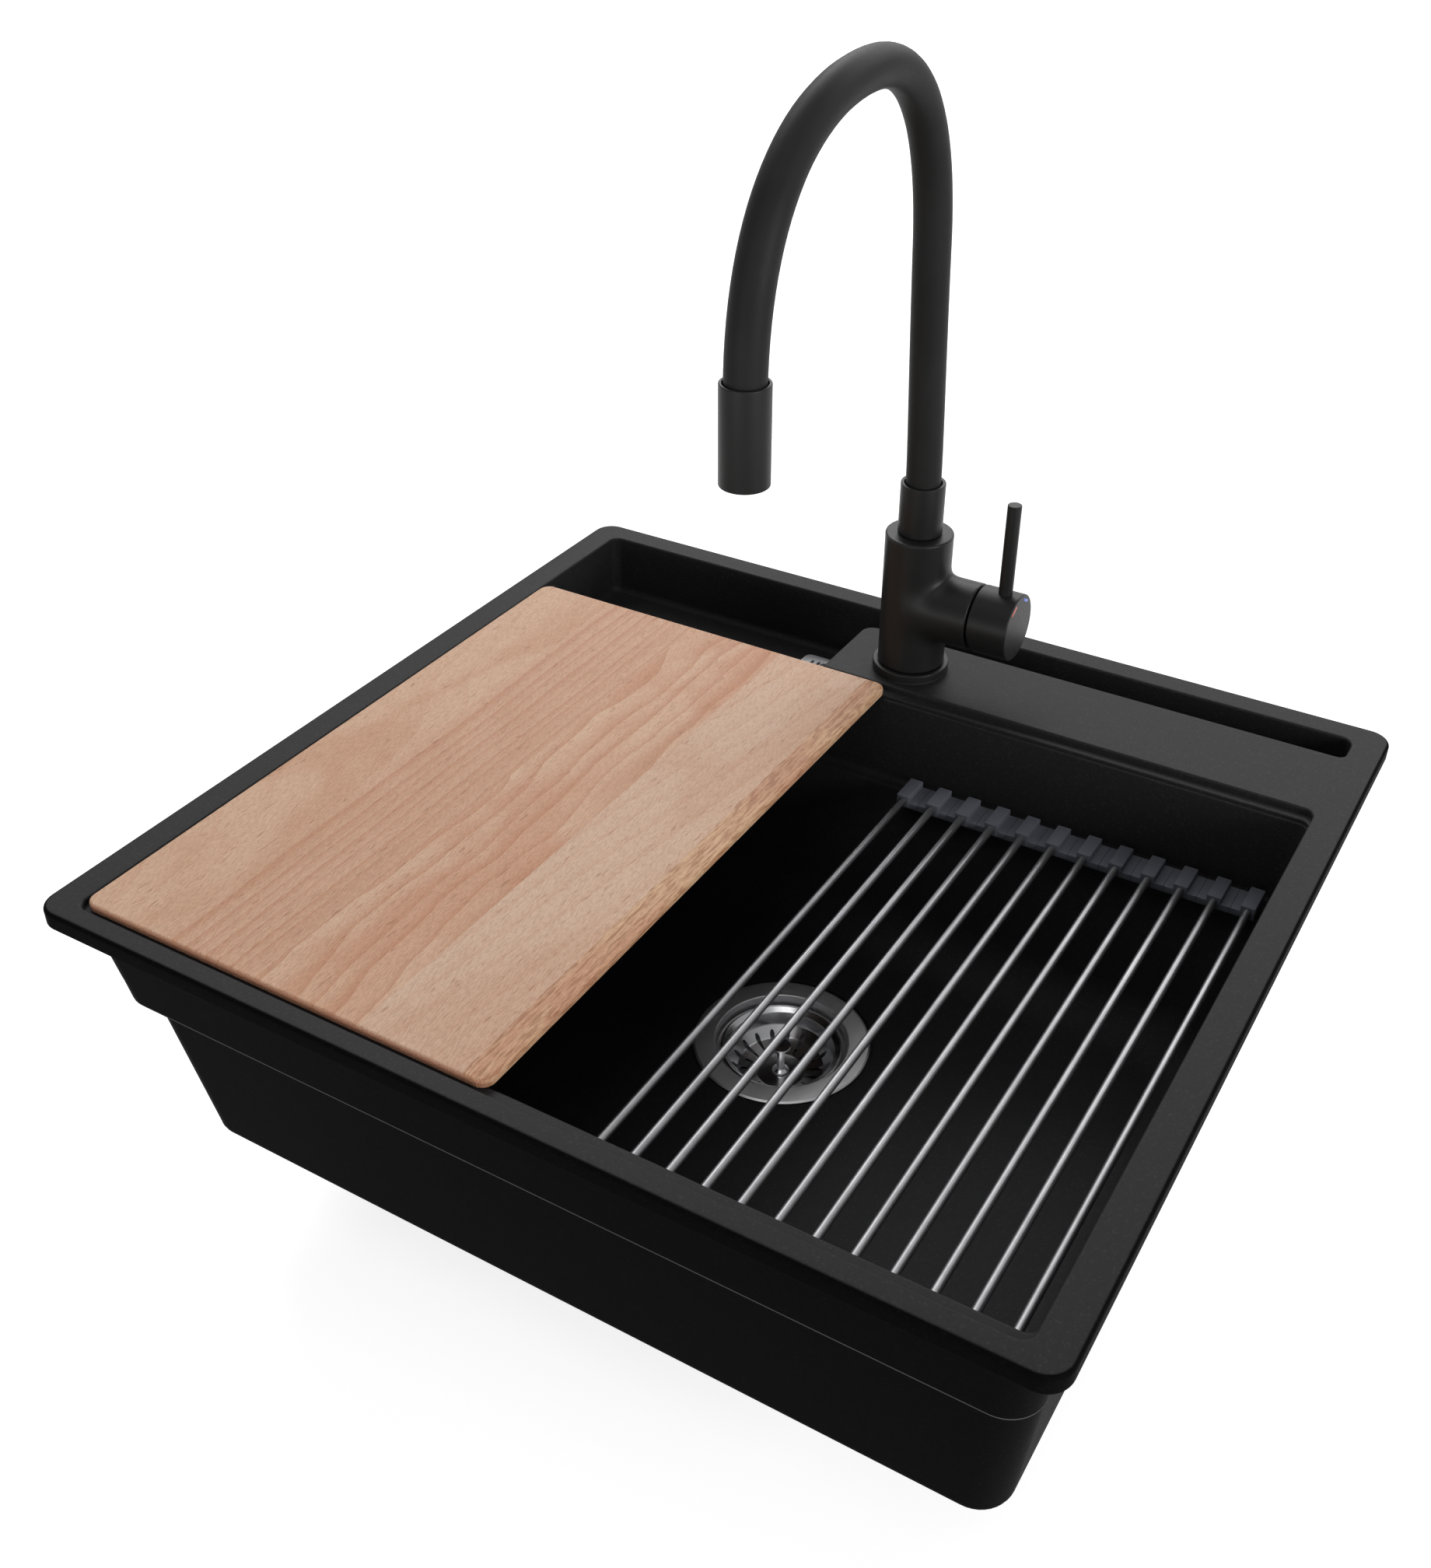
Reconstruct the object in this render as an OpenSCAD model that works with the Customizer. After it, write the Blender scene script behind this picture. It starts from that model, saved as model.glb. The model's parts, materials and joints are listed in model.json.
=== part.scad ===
/* [Rim and deck] */
// Overall width of the rim
rim_w = 600; // [580:5:700]
// Overall depth of the rim
rim_d = 562; // [550:2:600]
// Thickness of the rim above the worktop
rim_t = 11; // [9:0.5:16]
// Plan radius of the rim's corners
rim_r = 14; // [8:1:20]
// Flat width of the rim at the left and the right
rim_side = 20.5; // [19:0.5:24]
// Flat width of the rim at the front
rim_front = 13.2; // [12:0.2:16]
// Flat width of the rim at the back
rim_back = 18.6; // [17:0.2:24]
// Depth of the tap deck, front to back
deck_d = 66.6; // [62:0.2:72]
// Width of the tap deck, from the pocket to the right wall
deck_w = 330; // [300:1:360]
// Width of the slot behind the deck, front to back
slot_d = 24; // [18:0.5:28]
// Material under the deck's top face
deck_t = 12; // [12:0.5:15]
// Plan radius of the openings in the rim
open_r = 7; // [4:0.5:10]

/* [Ledges] */
// Drop from the rim's top to the cutting board's ledge
board_drop = 4; // [3:0.5:6]
// Width of the cutting board's ledge
board_ledge = 7; // [5:0.5:9]
// Side of the small step beneath that ledge
small_step = 2; // [1:0.5:3]
// Drop from the rim's top to the drying rack's ledge
rack_drop = 63; // [55:1:75]
// Width of the drying rack's ledge
rack_ledge = 9; // [7:0.5:11]

/* [Bowl] */
// Depth of the bowl's floor at its edge, from the rim's top
bowl_depth = 163; // [145:1:190]
// Fall of the floor from its edge to the drain
floor_fall = 3; // [2:0.5:5]
// Thickness of the bowl's floor
floor_t = 9; // [8:0.5:12]
// Fillet between the bowl's floor and its walls
floor_r = 28; // [15:1:32]
// Plan radius of the lower bowl's corners
bowl_r = 20; // [16:1:24]
// Drop from the rim's top to the crease around the outside
crease_drop = 70.4; // [68:0.4:85]
// Inset of the outer wall from the rim's edge, under the rim
shell_in = 14.5; // [13:0.5:15]
// Inset of the right outer wall from the rim's edge, under the rim
shell_in_right = 11; // [10:0.5:13]
// Inset of the back outer wall from the rim's edge, under the rim
shell_in_back = 9.5; // [8:0.5:11]
// Draft of the outer wall down to the crease
shell_draft = 8.1; // [5:0.1:9]
// Width of the shelf inside the left wall
left_shelf = 27; // [20:1:40]
// Thickness of the walls at the drying rack's ledge
wall_t = 9; // [8:0.5:10]
// Draft of the lower walls, from the ledge to the floor
lower_draft = 10; // [6:0.5:14]
// Slope of the lower back wall, from the ledge to the floor
back_draft = 39; // [30:1:45]
// Radius of the outer bottom edge
bottom_r = 8; // [5:0.5:10]
// Depth of the rear pocket and the slot, from the rim's top
pocket_depth = 45; // [35:1:50]
// Thickness of the rear pocket's floor
pocket_t = 9; // [8:0.5:12]
// Thickness of the wall between the bowl and the rear pocket
divider_t = 14.2; // [12:0.2:16]

/* [Drain] */
// Drain's place to the right of the middle
drain_x = 20; // [-20:1:40]
// Drain's place behind the middle of the board's bay
drain_back = 44; // [20:1:60]
// Diameter of the strainer's flange
flange_d = 113; // [108:1:120]
// Thickness of the strainer's flange
flange_t = 1.6; // [1.2:0.1:2]
// Diameter of the drain hole through the floor
drain_hole_d = 90; // [89:0.5:94]
// Inner diameter of the strainer's throat
throat_d = 83; // [80:1:84]
// Depth of the strainer's cup
cup_h = 34; // [30:1:40]
// Wall of the strainer's cup and basket
sheet_t = 1; // [0.8:0.1:1.4]
// Number of slots in the basket
basket_slots = 18; // [12:1:20]
// Outer diameter of the outlet tail
tail_d = 47.8; // [40:0.1:50]
// Length of the outlet tail
tail_h = 32; // [25:1:45]

/* [Cutting board] */
// Width of the cutting board
board_w = 276.3; // [240:0.1:290]
// Thickness of the cutting board
board_t = 6; // [5:0.5:8]
// Plan radius of the board's corners
board_r = 8; // [4:1:12]
// Gap around the board in its bay
board_gap = 2.2; // [1:0.1:3]

/* [Drying rack] */
// Number of rods
rods = 12; // [8:1:12]
// Spacing of the rods
rod_pitch = 20.76; // [18:0.02:22]
// Diameter of a rod
rod_d = 5; // [4:0.5:6]
// Distance from the last rod's axis to the right wall
rack_in = 13.6; // [12:0.1:30]
// Gap between the rack's ends and the walls
rack_gap = 4.25; // [3:0.05:5]
// Depth of a silicone end block, along the rod
link_d = 21.8; // [18:0.2:26]
// Width of the raised part of an end block
link_w = 9; // [7.5:0.5:10]
// Height of the raised part of an end block
link_h = 9; // [8:0.5:10]
// Thickness of the web between two blocks
web_t = 4.5; // [3:0.5:5]

/* [Tap] */
// Distance from the deck's front edge to the tap's axis
tap_in = 30.2; // [29:0.1:34]
// Distance from the deck's left end to the tap's axis
tap_side = 50.5; // [40:0.5:80]
// Diameter of the tap's base ring
base_d = 50.6; // [48:0.2:56]
// Height of the tap's base ring with its seal
base_h = 6.5; // [5:0.5:9]
// Diameter of the tap's body and side arm
body_d = 44; // [42:0.5:46]
// Height of the body's top above the rim
body_h = 99.5; // [90:0.5:120]
// Height of the side arm's axis above the rim
arm_h = 50; // [45:1:60]
// Reach of the side arm to the seam
arm_w = 44.5; // [40:0.5:52]
// Width of the seam between the arm and the lever cap
seam = 1.5; // [1.2:0.1:2]
// Diameter of the swivel sleeve
sleeve_d = 28.6; // [27:0.2:32]
// Height of the swivel sleeve's top above the rim
sleeve_top = 134; // [128:1:150]
// Diameter of the spout hose
hose_d = 22.4; // [20:0.2:24]
// Height of the spout's crown above the sleeve
crown_h = 263; // [240:1:290]
// Reach of the spout's crown in front of the tap
crown_reach = 104; // [90:1:120]
// Reach of the spray head in front of the tap
spout_reach = 226; // [200:1:250]
// Diameter of the spray head
head_d = 27; // [25:0.5:30]
// Length of the spray head
head_h = 54; // [45:1:65]
// Height of the spray head's top above the rim
head_top = 274; // [250:1:300]
// Diameter of the threaded shank under the deck
shank_d = 32; // [30:0.5:33]
// Length of the shank under the deck's top face
shank_h = 62; // [50:1:75]

/* [Lever] */
// Length of the lever cap
cap_l = 26.5; // [24:0.5:32]
// Diameter of the lever pin
pin_d = 9; // [7:0.5:10]
// Height of the lever pin's top above the rim
pin_top = 133; // [120:1:145]
// Distance from the cap's end face to the lever pin's axis
pin_in = 10.6; // [8:0.2:13]
// Lift of the lever, in degrees
lift = 13; // [8:1:13]

/* [Overflow] */
// Width of the overflow's cover plate
cover_w = 42; // [36:1:48]
// Depth of the overflow's cover plate
cover_d = 30; // [28:1:32]
// Cover plate's distance from the deck's left end
cover_gap = 8.5; // [6:0.5:12]
// Diameter of the overflow hole
overflow_d = 24; // [20:1:26]
// Diameter of the overflow spigot
spigot_d = 20; // [16:1:24]
// Length of the overflow spigot
spigot_h = 24; // [18:1:30]
// Drop of the spigot's axis below the pocket
spigot_drop = 18; // [16:1:24]

/* [Hidden] */
$fn = 96;
tiny = 0.01;
fit = 0.05;
play = 0.3;
rack_names = [for (i = [1:rods]) str("rack_rod_", i < 10 ? "0" : "", i)];
link_names = [for (i = [1:rods]) str("rack_link_", i < 10 ? "0" : "", i)];

// The origin is at the plan centre, on the plane where the rim's underside meets the worktop.
top_z = rim_t;
left_x = -rim_w / 2;
right_x = rim_w / 2;
front_y = -rim_d / 2;
back_y = rim_d / 2;

// Openings in the rim
bay_x0 = left_x + rim_side;
bay_x1 = right_x - rim_side;
bay_y0 = front_y + rim_front;
slot_y1 = back_y - rim_back;
slot_y0 = slot_y1 - slot_d;
bay_y1 = slot_y0 - deck_d;
board_bay = bay_y1 - bay_y0;
bay_y = (bay_y0 + bay_y1) / 2;
deck_x = bay_x1 - deck_w;

// Ledges
ledge_z = top_z - board_drop;
step_z = ledge_z - small_step;
well_y0 = bay_y0 + board_ledge + small_step;
well_y1 = bay_y1 - board_ledge - small_step;
rack_z = top_z - rack_drop;
upper_draft = shell_draft * 0.45;
rack_y0 = well_y0 + upper_draft;
rack_y1 = well_y1 - upper_draft;
low_y0 = rack_y0 + rack_ledge;
low_y1 = rack_y1 - rack_ledge;
side_draft = shell_draft * 0.7;
rack_x0 = bay_x0 + shell_draft;
rack_x1 = bay_x1 - side_draft;
low_x0 = rack_x0 + left_shelf;
low_x1 = rack_x1;

// Floor of the bowl and its outside
floor_z = top_z - bowl_depth;
drain_z = floor_z - floor_fall;
crease_z = top_z - crease_drop;
bottom_z = floor_z - floor_t + 1;
low_bottom_z = drain_z - floor_t;
shell_x0 = left_x + shell_in;
shell_x1 = right_x - shell_in_right;
shell_y0 = front_y + shell_in;
shell_y1 = back_y - shell_in_back;
pocket_z = top_z - pocket_depth;
pocket_y0 = well_y1 + divider_t;
divider_y = pocket_y0 - 1;
shell_r = 20;
pan_r = drain_hole_d / 2 + 25;

// Hollow under the deck, where the tap is fastened
hollow_x0 = deck_x + wall_t;
hollow_x1 = bay_x1 - 4;
hollow_y0 = pocket_y0 + 1;
hollow_y1 = slot_y0 - wall_t + 0.6;
hollow_z = top_z - deck_t;

// Strainer
drain_y = bay_y + drain_back;
recess_gap = 1.5;
recess_z = drain_z - 2.4;
gasket_t = 0.8;
flange_z = recess_z + gasket_t;
lip_z = flange_z + flange_t;
cup_r = throat_d / 2;
cup_z = lip_z - cup_h;
cup_step_r = cup_r - 5;
cup_step_z = lip_z - 10;
screw_d = 6;
basket_r = cup_r - 1.5;
basket_z = cup_z + sheet_t + 5;
basket_flat_r = 0.44 * cup_step_r;
stopper_r = 0.74 * cup_step_r;
under_z = low_bottom_z - 2;
body_r = drain_hole_d / 2 + 8;
sump_z = cup_z - 12;

// Board
board_x0 = bay_x0 + board_gap;
board_d = board_bay - 2 * board_gap - 1;
board_y = bay_y + 0.3;

// Rack
rod_x = rack_x1 - rack_in - (rods - 1) * rod_pitch;
rod_z = rack_z + fit + rod_d;
rod_y0 = rack_y0 + rack_gap + link_d;
rod_y1 = rack_y1 - rack_gap - link_d;
rod_in = 3;
web_gap = 0.3;

// Tap
tap_x = deck_x + tap_side;
tap_y = bay_y1 + tap_in;
deck_z = top_z;
seal_t = 1;
ring_top = deck_z + base_h;
body_top = top_z + body_h;
arm_z = top_z + arm_h;
body_r2 = body_d / 2;
shank_r = shank_d / 2;
shank_z = deck_z - shank_h;
shank_top = ring_top + 20;
bush_r = sleeve_d / 2 - 1;
bush_h = 26;
spigot_r = bush_r - 2;
ring_levels = [body_top - 8, body_top - 18];
sleeve_z = top_z + sleeve_top;
hose_r = hose_d / 2;
socket_h = 8;
head_socket = 5;
inlet_r = 4.5;
inlet_h = 22;
inlet_x = 7.5;

// Centre line of the spout hose, as depth from the tap's axis and height
lean = crown_reach / 8;
head_z = top_z + head_top;
foot = [0, sleeve_z - socket_h + fit];
crown = [-crown_reach, sleeve_z + crown_h];
rise = [-lean, sleeve_z + 0.58 * crown_h];
nose = [-spout_reach, head_z - head_socket + fit];
hose_legs = [
  [foot, foot + [0, 0.11 * crown_h], rise - [-0.46 * lean, 0.3 * crown_h], rise],
  [rise, rise + [-0.4 * lean, 0.25 * crown_h], crown + [0.55 * crown_reach, 0], crown],
  [crown, crown - [0.6 * (spout_reach - crown_reach), 0], nose + [0, 0.33 * crown_h], nose]
];
leg_steps = [12, 14, 18];
hose_sides = 12;

// Lever
cap_x = arm_w + seam;
cap_end = cap_x + cap_l;
pin_x = cap_end - pin_in;
pin_z = top_z + pin_top;
bore_r = body_r2 - 4;
nut_r = bore_r - 1;
carrier_r = 12;
relief = asin((body_r2 * sin(lift) - seam + play) / body_r2);
mark_l = 8;
mark_w = 1.8;
mark_t = 0.5;
mark_in = 4.6;
mark_turn = 30;
stem_w = 8;
axle_d = 3;
grub_d = 5;
pin_seat = 5.5;

// Overflow
cover_x = deck_x - cover_gap - cover_w / 2;
cover_y = slot_y1 - cover_d / 2 - 15;
elbow_lip = 5;
elbow_reach = overflow_d / 2 + elbow_lip + 1;

function bezier(p, t) = p[0] * pow(1 - t, 3) + 3 * p[1] * t * pow(1 - t, 2)
  + 3 * p[2] * t * t * (1 - t) + p[3] * pow(t, 3);
function slope(p, t) = 3 * ((p[1] - p[0]) * pow(1 - t, 2)
  + 2 * (p[2] - p[1]) * t * (1 - t) + (p[3] - p[2]) * t * t);

// Flat plate with round corners, from corner a to corner b
module plate(a, b, r, h) {
  linear_extrude(h) {
    translate([a[0] + r, a[1]]) square([b[0] - a[0] - 2 * r, b[1] - a[1]]);
    translate([a[0], a[1] + r]) square([b[0] - a[0], b[1] - a[1] - 2 * r]);
    for (x = [a[0] + r, b[0] - r], y = [a[1] + r, b[1] - r]) translate([x, y]) circle(r);
  }
}

// Four upright corners of a box at height z
module corners(a, b, r, z, h = tiny) {
  for (x = [a[0] + r, b[0] - r], y = [a[1] + r, b[1] - r])
    translate([x, y, z]) cylinder(r = r, h = h, $fn = 32);
}

// Four corners with a rounded lower edge
module foot_corners(a, b, r, edge, z) {
  for (x = [a[0] + r, b[0] - r], y = [a[1] + r, b[1] - r])
    translate([x, y, z + edge]) rotate_extrude($fn = 32)
      intersection() {
        translate([r - edge, 0]) circle(edge, $fn = 24);
        translate([0, -edge]) square([r, edge + tiny]);
      }
}

module upper_shell() {
  hull() {
    corners([shell_x0, shell_y0], [shell_x1, divider_y + wall_t], shell_r, -tiny);
    corners([shell_x0 + shell_draft, shell_y0 + shell_draft],
      [shell_x1 - side_draft, divider_y], shell_r, crease_z);
  }
}

module lower_shell() {
  hull() {
    corners([low_x0 - wall_t - 0.8, shell_y0 + shell_draft],
      [shell_x1 - side_draft, low_y1 + wall_t], shell_r, crease_z);
    foot_corners([low_x0 + lower_draft - wall_t, shell_y0 + shell_draft + lower_draft + 4],
      [low_x1 - lower_draft + wall_t - 0.6, low_y1 - back_draft + wall_t],
      shell_r, bottom_r, bottom_z);
    translate([drain_x, drain_y, low_bottom_z]) cylinder(r = pan_r, h = tiny, $fn = 32);
  }
}

module rear_shell() {
  hull() {
    corners([shell_x0, divider_y - wall_t], [shell_x1, shell_y1], shell_r, -tiny);
    corners([shell_x0 + side_draft, divider_y - wall_t], [shell_x1 - side_draft, shell_y1 - 3],
      shell_r, pocket_z - pocket_t);
  }
}

module upper_well() {
  hull() {
    corners([bay_x0, well_y0], [bay_x1, well_y1], open_r, top_z);
    corners([rack_x0, rack_y0], [rack_x1, rack_y1], open_r, rack_z);
  }
}

module lower_well() {
  hull() {
    corners([low_x0, low_y0], [low_x1, low_y1], bowl_r, rack_z + tiny);
    for (x = [low_x0 + lower_draft, low_x1 - lower_draft], k = [0, 1])
      translate([x + (x < 0 ? floor_r : -floor_r),
        k == 0 ? low_y0 + lower_draft + floor_r : low_y1 - back_draft - floor_r,
        floor_z + floor_r]) sphere(floor_r, $fn = 32);
    translate([drain_x, drain_y, drain_z]) cylinder(r = flange_d / 2 + 2, h = tiny, $fn = 32);
  }
}

module sink_bowl() {
  color([0.16, 0.16, 0.17])
  difference() {
    union() {
      plate([left_x, front_y], [right_x, back_y], rim_r, rim_t);
      upper_shell();
      lower_shell();
      rear_shell();
    }
    upper_well();
    lower_well();
    translate([0, 0, ledge_z])
      plate([bay_x0, bay_y0], [bay_x1, bay_y1], open_r, rim_t);
    translate([0, 0, step_z])
      plate([bay_x0, bay_y0 + board_ledge], [bay_x1, bay_y1 - board_ledge], open_r, rim_t);
    translate([0, 0, ledge_z])
      plate([bay_x0, bay_y1 - 2 * open_r], [deck_x, pocket_y0 + 2 * open_r], open_r, rim_t);
    translate([0, 0, pocket_z])
      plate([bay_x0, pocket_y0], [deck_x, slot_y1], open_r, pocket_depth + 1);
    translate([0, 0, pocket_z])
      plate([deck_x - 2 * open_r, slot_y0], [bay_x1, slot_y1], open_r, pocket_depth + 1);
    translate([0, 0, pocket_z - 4 * pocket_t])
      plate([hollow_x0, hollow_y0], [hollow_x1, hollow_y1], open_r,
        hollow_z - pocket_z + 4 * pocket_t);
    translate([drain_x, drain_y, recess_z]) cylinder(d = flange_d + 2 * recess_gap, h = 10);
    translate([drain_x, drain_y, low_bottom_z - 1]) cylinder(d = drain_hole_d, h = 20);
    translate([tap_x, tap_y, hollow_z - 1]) cylinder(d = shank_d + 3, h = deck_t + 2);
    translate([cover_x, cover_y, pocket_z - pocket_t - 1])
      cylinder(d = overflow_d, h = pocket_t + 2);
  }
}

module cutting_board() {
  color([0.80, 0.60, 0.44])
  translate([0, board_y, ledge_z + fit])
    plate([board_x0, -board_d / 2], [board_x0 + board_w, board_d / 2], board_r, board_t);
}

// Turned solid on the drain's axis
module at_drain() {
  translate([drain_x, drain_y, 0]) children();
}

module strainer_flange() {
  color([0.74, 0.74, 0.75])
  at_drain()
    difference() {
      rotate_extrude() polygon([
        [screw_d / 2 + fit, cup_z], [cup_step_r, cup_z], [cup_step_r + sheet_t, cup_z + sheet_t],
        [cup_step_r + sheet_t, cup_step_z - sheet_t], [cup_r + sheet_t, cup_step_z + 2],
        [cup_r + sheet_t, flange_z], [flange_d / 2, flange_z], [flange_d / 2, flange_z + 0.6],
        [flange_d / 2 - 1, lip_z], [cup_r, lip_z], [cup_r, cup_step_z + 2.5],
        [cup_step_r, cup_step_z], [cup_step_r, cup_z + sheet_t],
        [screw_d / 2 + fit, cup_z + sheet_t]
      ]);
      for (i = [0:5])
        rotate(i * 60) translate([cup_step_r / 2 + 3, 0, cup_z - 1]) cylinder(d = 12, h = 4);
    }
}

module strainer_gasket() {
  color([0.10, 0.10, 0.10])
  at_drain() translate([0, 0, recess_z])
    difference() {
      cylinder(d = flange_d - 1, h = gasket_t);
      translate([0, 0, -1]) cylinder(d = drain_hole_d - 1, h = gasket_t + 2);
    }
}

module strainer_basket() {
  color([0.80, 0.80, 0.81])
  at_drain()
    difference() {
      rotate_extrude() polygon([
        [3 + fit, basket_z], [basket_flat_r, basket_z], [cup_step_r - 8, basket_z + 3],
        [cup_step_r - 1.2, cup_step_z - 4], [cup_step_r - 1.2, cup_step_z + 1.2],
        [basket_r - 1, cup_step_z + 3.6], [basket_r - 1, cup_step_z + 4.6],
        [cup_step_r - 2.4, cup_step_z + 2.4], [cup_step_r - 2.2, cup_step_z - 3.6],
        [cup_step_r - 8.6, basket_z + 4], [basket_flat_r - 0.4, basket_z + sheet_t],
        [3 + fit, basket_z + sheet_t]
      ]);
      for (i = [0:basket_slots - 1])
        rotate((i + 0.5) * 360 / basket_slots) {
          translate([cup_step_r - 7.5, 0, basket_z - 1]) cylinder(d = 4, h = 10);
          translate([basket_flat_r + 1, -0.9, basket_z - 1])
            cube([cup_step_r - 8.5 - basket_flat_r, 1.8, 10]);
        }
    }
}

module basket_post() {
  color([0.82, 0.82, 0.83])
  at_drain() rotate_extrude() polygon([
    [0, basket_z - 2.4], [3, basket_z - 2.4], [3, basket_z + 1.5], [5.5, basket_z + 1.5],
    [5.5, basket_z + 2.3], [2.6, basket_z + 4], [2.6, lip_z - 8], [4, lip_z - 6.6],
    [6.3, lip_z - 6], [6.3, lip_z - 5], [0, lip_z - 5]
  ]);
}

module basket_stopper() {
  color([0.10, 0.10, 0.10])
  at_drain() rotate_extrude() polygon([
    [3 + fit, basket_z - 2.4], [basket_flat_r - 6, cup_z + sheet_t + 0.6],
    [stopper_r - 3, cup_z + sheet_t + play],
    [stopper_r, cup_z + sheet_t + 1.5], [basket_flat_r - 1, basket_z - fit],
    [3 + fit, basket_z - fit]
  ]);
}

module strainer_screw() {
  color([0.70, 0.70, 0.71])
  at_drain() {
    translate([0, 0, cup_z - 10]) cylinder(d = screw_d, h = 10 + sheet_t + tiny);
    translate([0, 0, cup_z + sheet_t + tiny])
      difference() {
        cylinder(d = 2 * screw_d, h = 1.2);
        translate([-screw_d, -0.6, 0.5]) cube([2 * screw_d, 1.2, 1]);
      }
  }
}

module body_gasket() {
  color([0.10, 0.10, 0.10])
  at_drain() translate([0, 0, under_z])
    difference() {
      cylinder(r = body_r, h = 2);
      translate([0, 0, -1]) cylinder(d = drain_hole_d + 1, h = 4);
    }
}

module strainer_body() {
  color([0.20, 0.20, 0.21])
  at_drain() {
    rotate_extrude() polygon([
      [tail_d / 2, sump_z - tail_h], [tail_d / 2, sump_z],
      [cup_step_r + 7, sump_z + 2], [cup_step_r + 9, under_z - 4],
      [body_r, under_z - 4], [body_r, under_z], [cup_r + 2.2, under_z],
      [cup_step_r + 2.2, under_z - 9], [cup_step_r + 2.2, sump_z + 5],
      [tail_d / 2 - 3, sump_z + 2.5], [tail_d / 2 - 3, sump_z - tail_h]
    ]);
    difference() {
      union() {
        translate([0, 0, cup_z - 9]) cylinder(d = screw_d + 6, h = 9 - fit);
        for (a = [0, 90]) rotate(a)
          translate([-cup_step_r - 2.6, -1.5, cup_z - 6]) cube([2 * cup_step_r + 5.2, 3, 4]);
      }
      translate([0, 0, cup_z - 12]) cylinder(d = screw_d + 2 * fit, h = 14);
    }
  }
}

module overflow_cover() {
  color([0.72, 0.72, 0.73])
  translate([cover_x, cover_y, pocket_z + gasket_t])
    difference() {
      union() {
        plate([-cover_w / 2, -cover_d / 2], [cover_w / 2, cover_d / 2], 5, 1.6);
        translate([0, 0, 1.5])
          plate([-cover_w / 2 + 5, -cover_d / 2 + 5], [cover_w / 2 - 5, cover_d / 2 - 5], 4, 1.4);
      }
      for (x = [-11.5, -6.5, 6.5, 11.5])
        translate([x, 0, -1])
          plate([-1.1, -cover_d / 2 + 9], [1.1, cover_d / 2 - 9], 1, 6);
      translate([0, 0, -1]) cylinder(d = 4 + 2 * fit, h = 6);
    }
}

module overflow_gasket() {
  color([0.10, 0.10, 0.10])
  translate([cover_x, cover_y, pocket_z])
    difference() {
      plate([-cover_w / 2 + 1, -cover_d / 2 + 1], [cover_w / 2 - 1, cover_d / 2 - 1], 4, gasket_t);
      translate([0, 0, -1]) cylinder(d = overflow_d, h = gasket_t + 2);
    }
}

module overflow_screw() {
  color([0.78, 0.78, 0.79])
  translate([cover_x, cover_y, pocket_z + gasket_t]) {
    translate([0, 0, -8]) cylinder(d = 4, h = 11 + tiny);
    translate([0, 0, 2.9 + fit])
      difference() {
        cylinder(d = 8, h = 1.4);
        translate([-5, -0.5, 0.8]) cube([10, 1, 2]);
      }
  }
}

module overflow_elbow() {
  color([0.20, 0.20, 0.21])
  translate([cover_x, cover_y, pocket_z - pocket_t])
    difference() {
      union() {
        translate([0, 0, -3]) cylinder(d = overflow_d + 2 * elbow_lip, h = 3 - fit);
        translate([0, 0, -spigot_drop - spigot_d / 2 - 1])
          cylinder(d = spigot_d + 2, h = spigot_drop + spigot_d / 2 - 1);
        translate([0, 0, -spigot_drop]) rotate([0, -90, 0]) {
          cylinder(d = spigot_d + 2, h = elbow_reach);
          cylinder(d = spigot_d, h = elbow_reach + spigot_h);
        }
        translate([0, 0, -3]) cylinder(d = 8, h = pocket_t - 1);
      }
      difference() {
        translate([0, 0, -spigot_drop - 4]) cylinder(d = spigot_d - 4, h = spigot_drop + 5);
        translate([0, 0, -spigot_drop - 5]) cylinder(d = 8, h = spigot_drop + 14);
      }
      translate([-6, 0, -spigot_drop]) rotate([0, -90, 0])
        cylinder(d = spigot_d - 4, h = elbow_reach + spigot_h);
      translate([0, 0, -3 + play]) cylinder(d = 4 + 2 * fit, h = pocket_t);
    }
}

// Place on the tap's axis
module at_tap(z = 0) {
  translate([tap_x, tap_y, z]) children();
}

// Ring on the tap's axis
module tap_ring(outer, inner, z, h) {
  at_tap(z)
    difference() {
      cylinder(r = outer, h = h);
      translate([0, 0, -1]) cylinder(r = inner, h = h + 2);
    }
}

module base_seal() {
  color([0.10, 0.10, 0.10])
  tap_ring(base_d / 2 - 0.6, shank_r + play, deck_z, seal_t);
}

module tap_base_ring() {
  color([0.13, 0.13, 0.13])
  tap_ring(base_d / 2, shank_r + play, deck_z + seal_t, base_h - seal_t);
}

module tap_body() {
  color([0.13, 0.13, 0.13])
  at_tap()
    difference() {
      union() {
        translate([0, 0, ring_top]) cylinder(r = body_r2, h = body_top - ring_top);
        translate([0, 0, arm_z]) rotate([0, 90, 0]) cylinder(r = body_r2, h = arm_w);
      }
      translate([0, 0, ring_top - 1]) cylinder(r = shank_r + fit, h = shank_top - ring_top + 1);
      translate([0, 0, body_top - bush_h]) cylinder(r = bush_r + fit, h = bush_h + 1);
      translate([0, 0, shank_top - 1]) cylinder(r = 5, h = body_top - shank_top - bush_h + 2);
      translate([10, 0, arm_z]) rotate([0, 90, 0]) cylinder(r = bore_r, h = arm_w);
    }
}

module tap_shank() {
  color([0.78, 0.66, 0.38])
  at_tap()
    difference() {
      translate([0, 0, shank_z]) cylinder(r = shank_r, h = shank_top - shank_z);
      for (x = [-inlet_x, inlet_x]) {
        translate([x, 0, shank_z - 1]) cylinder(r = inlet_r, h = inlet_h + 1);
        translate([x, 0, shank_z]) cylinder(r = 2.5, h = shank_top - shank_z + 1);
      }
    }
}

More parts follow.
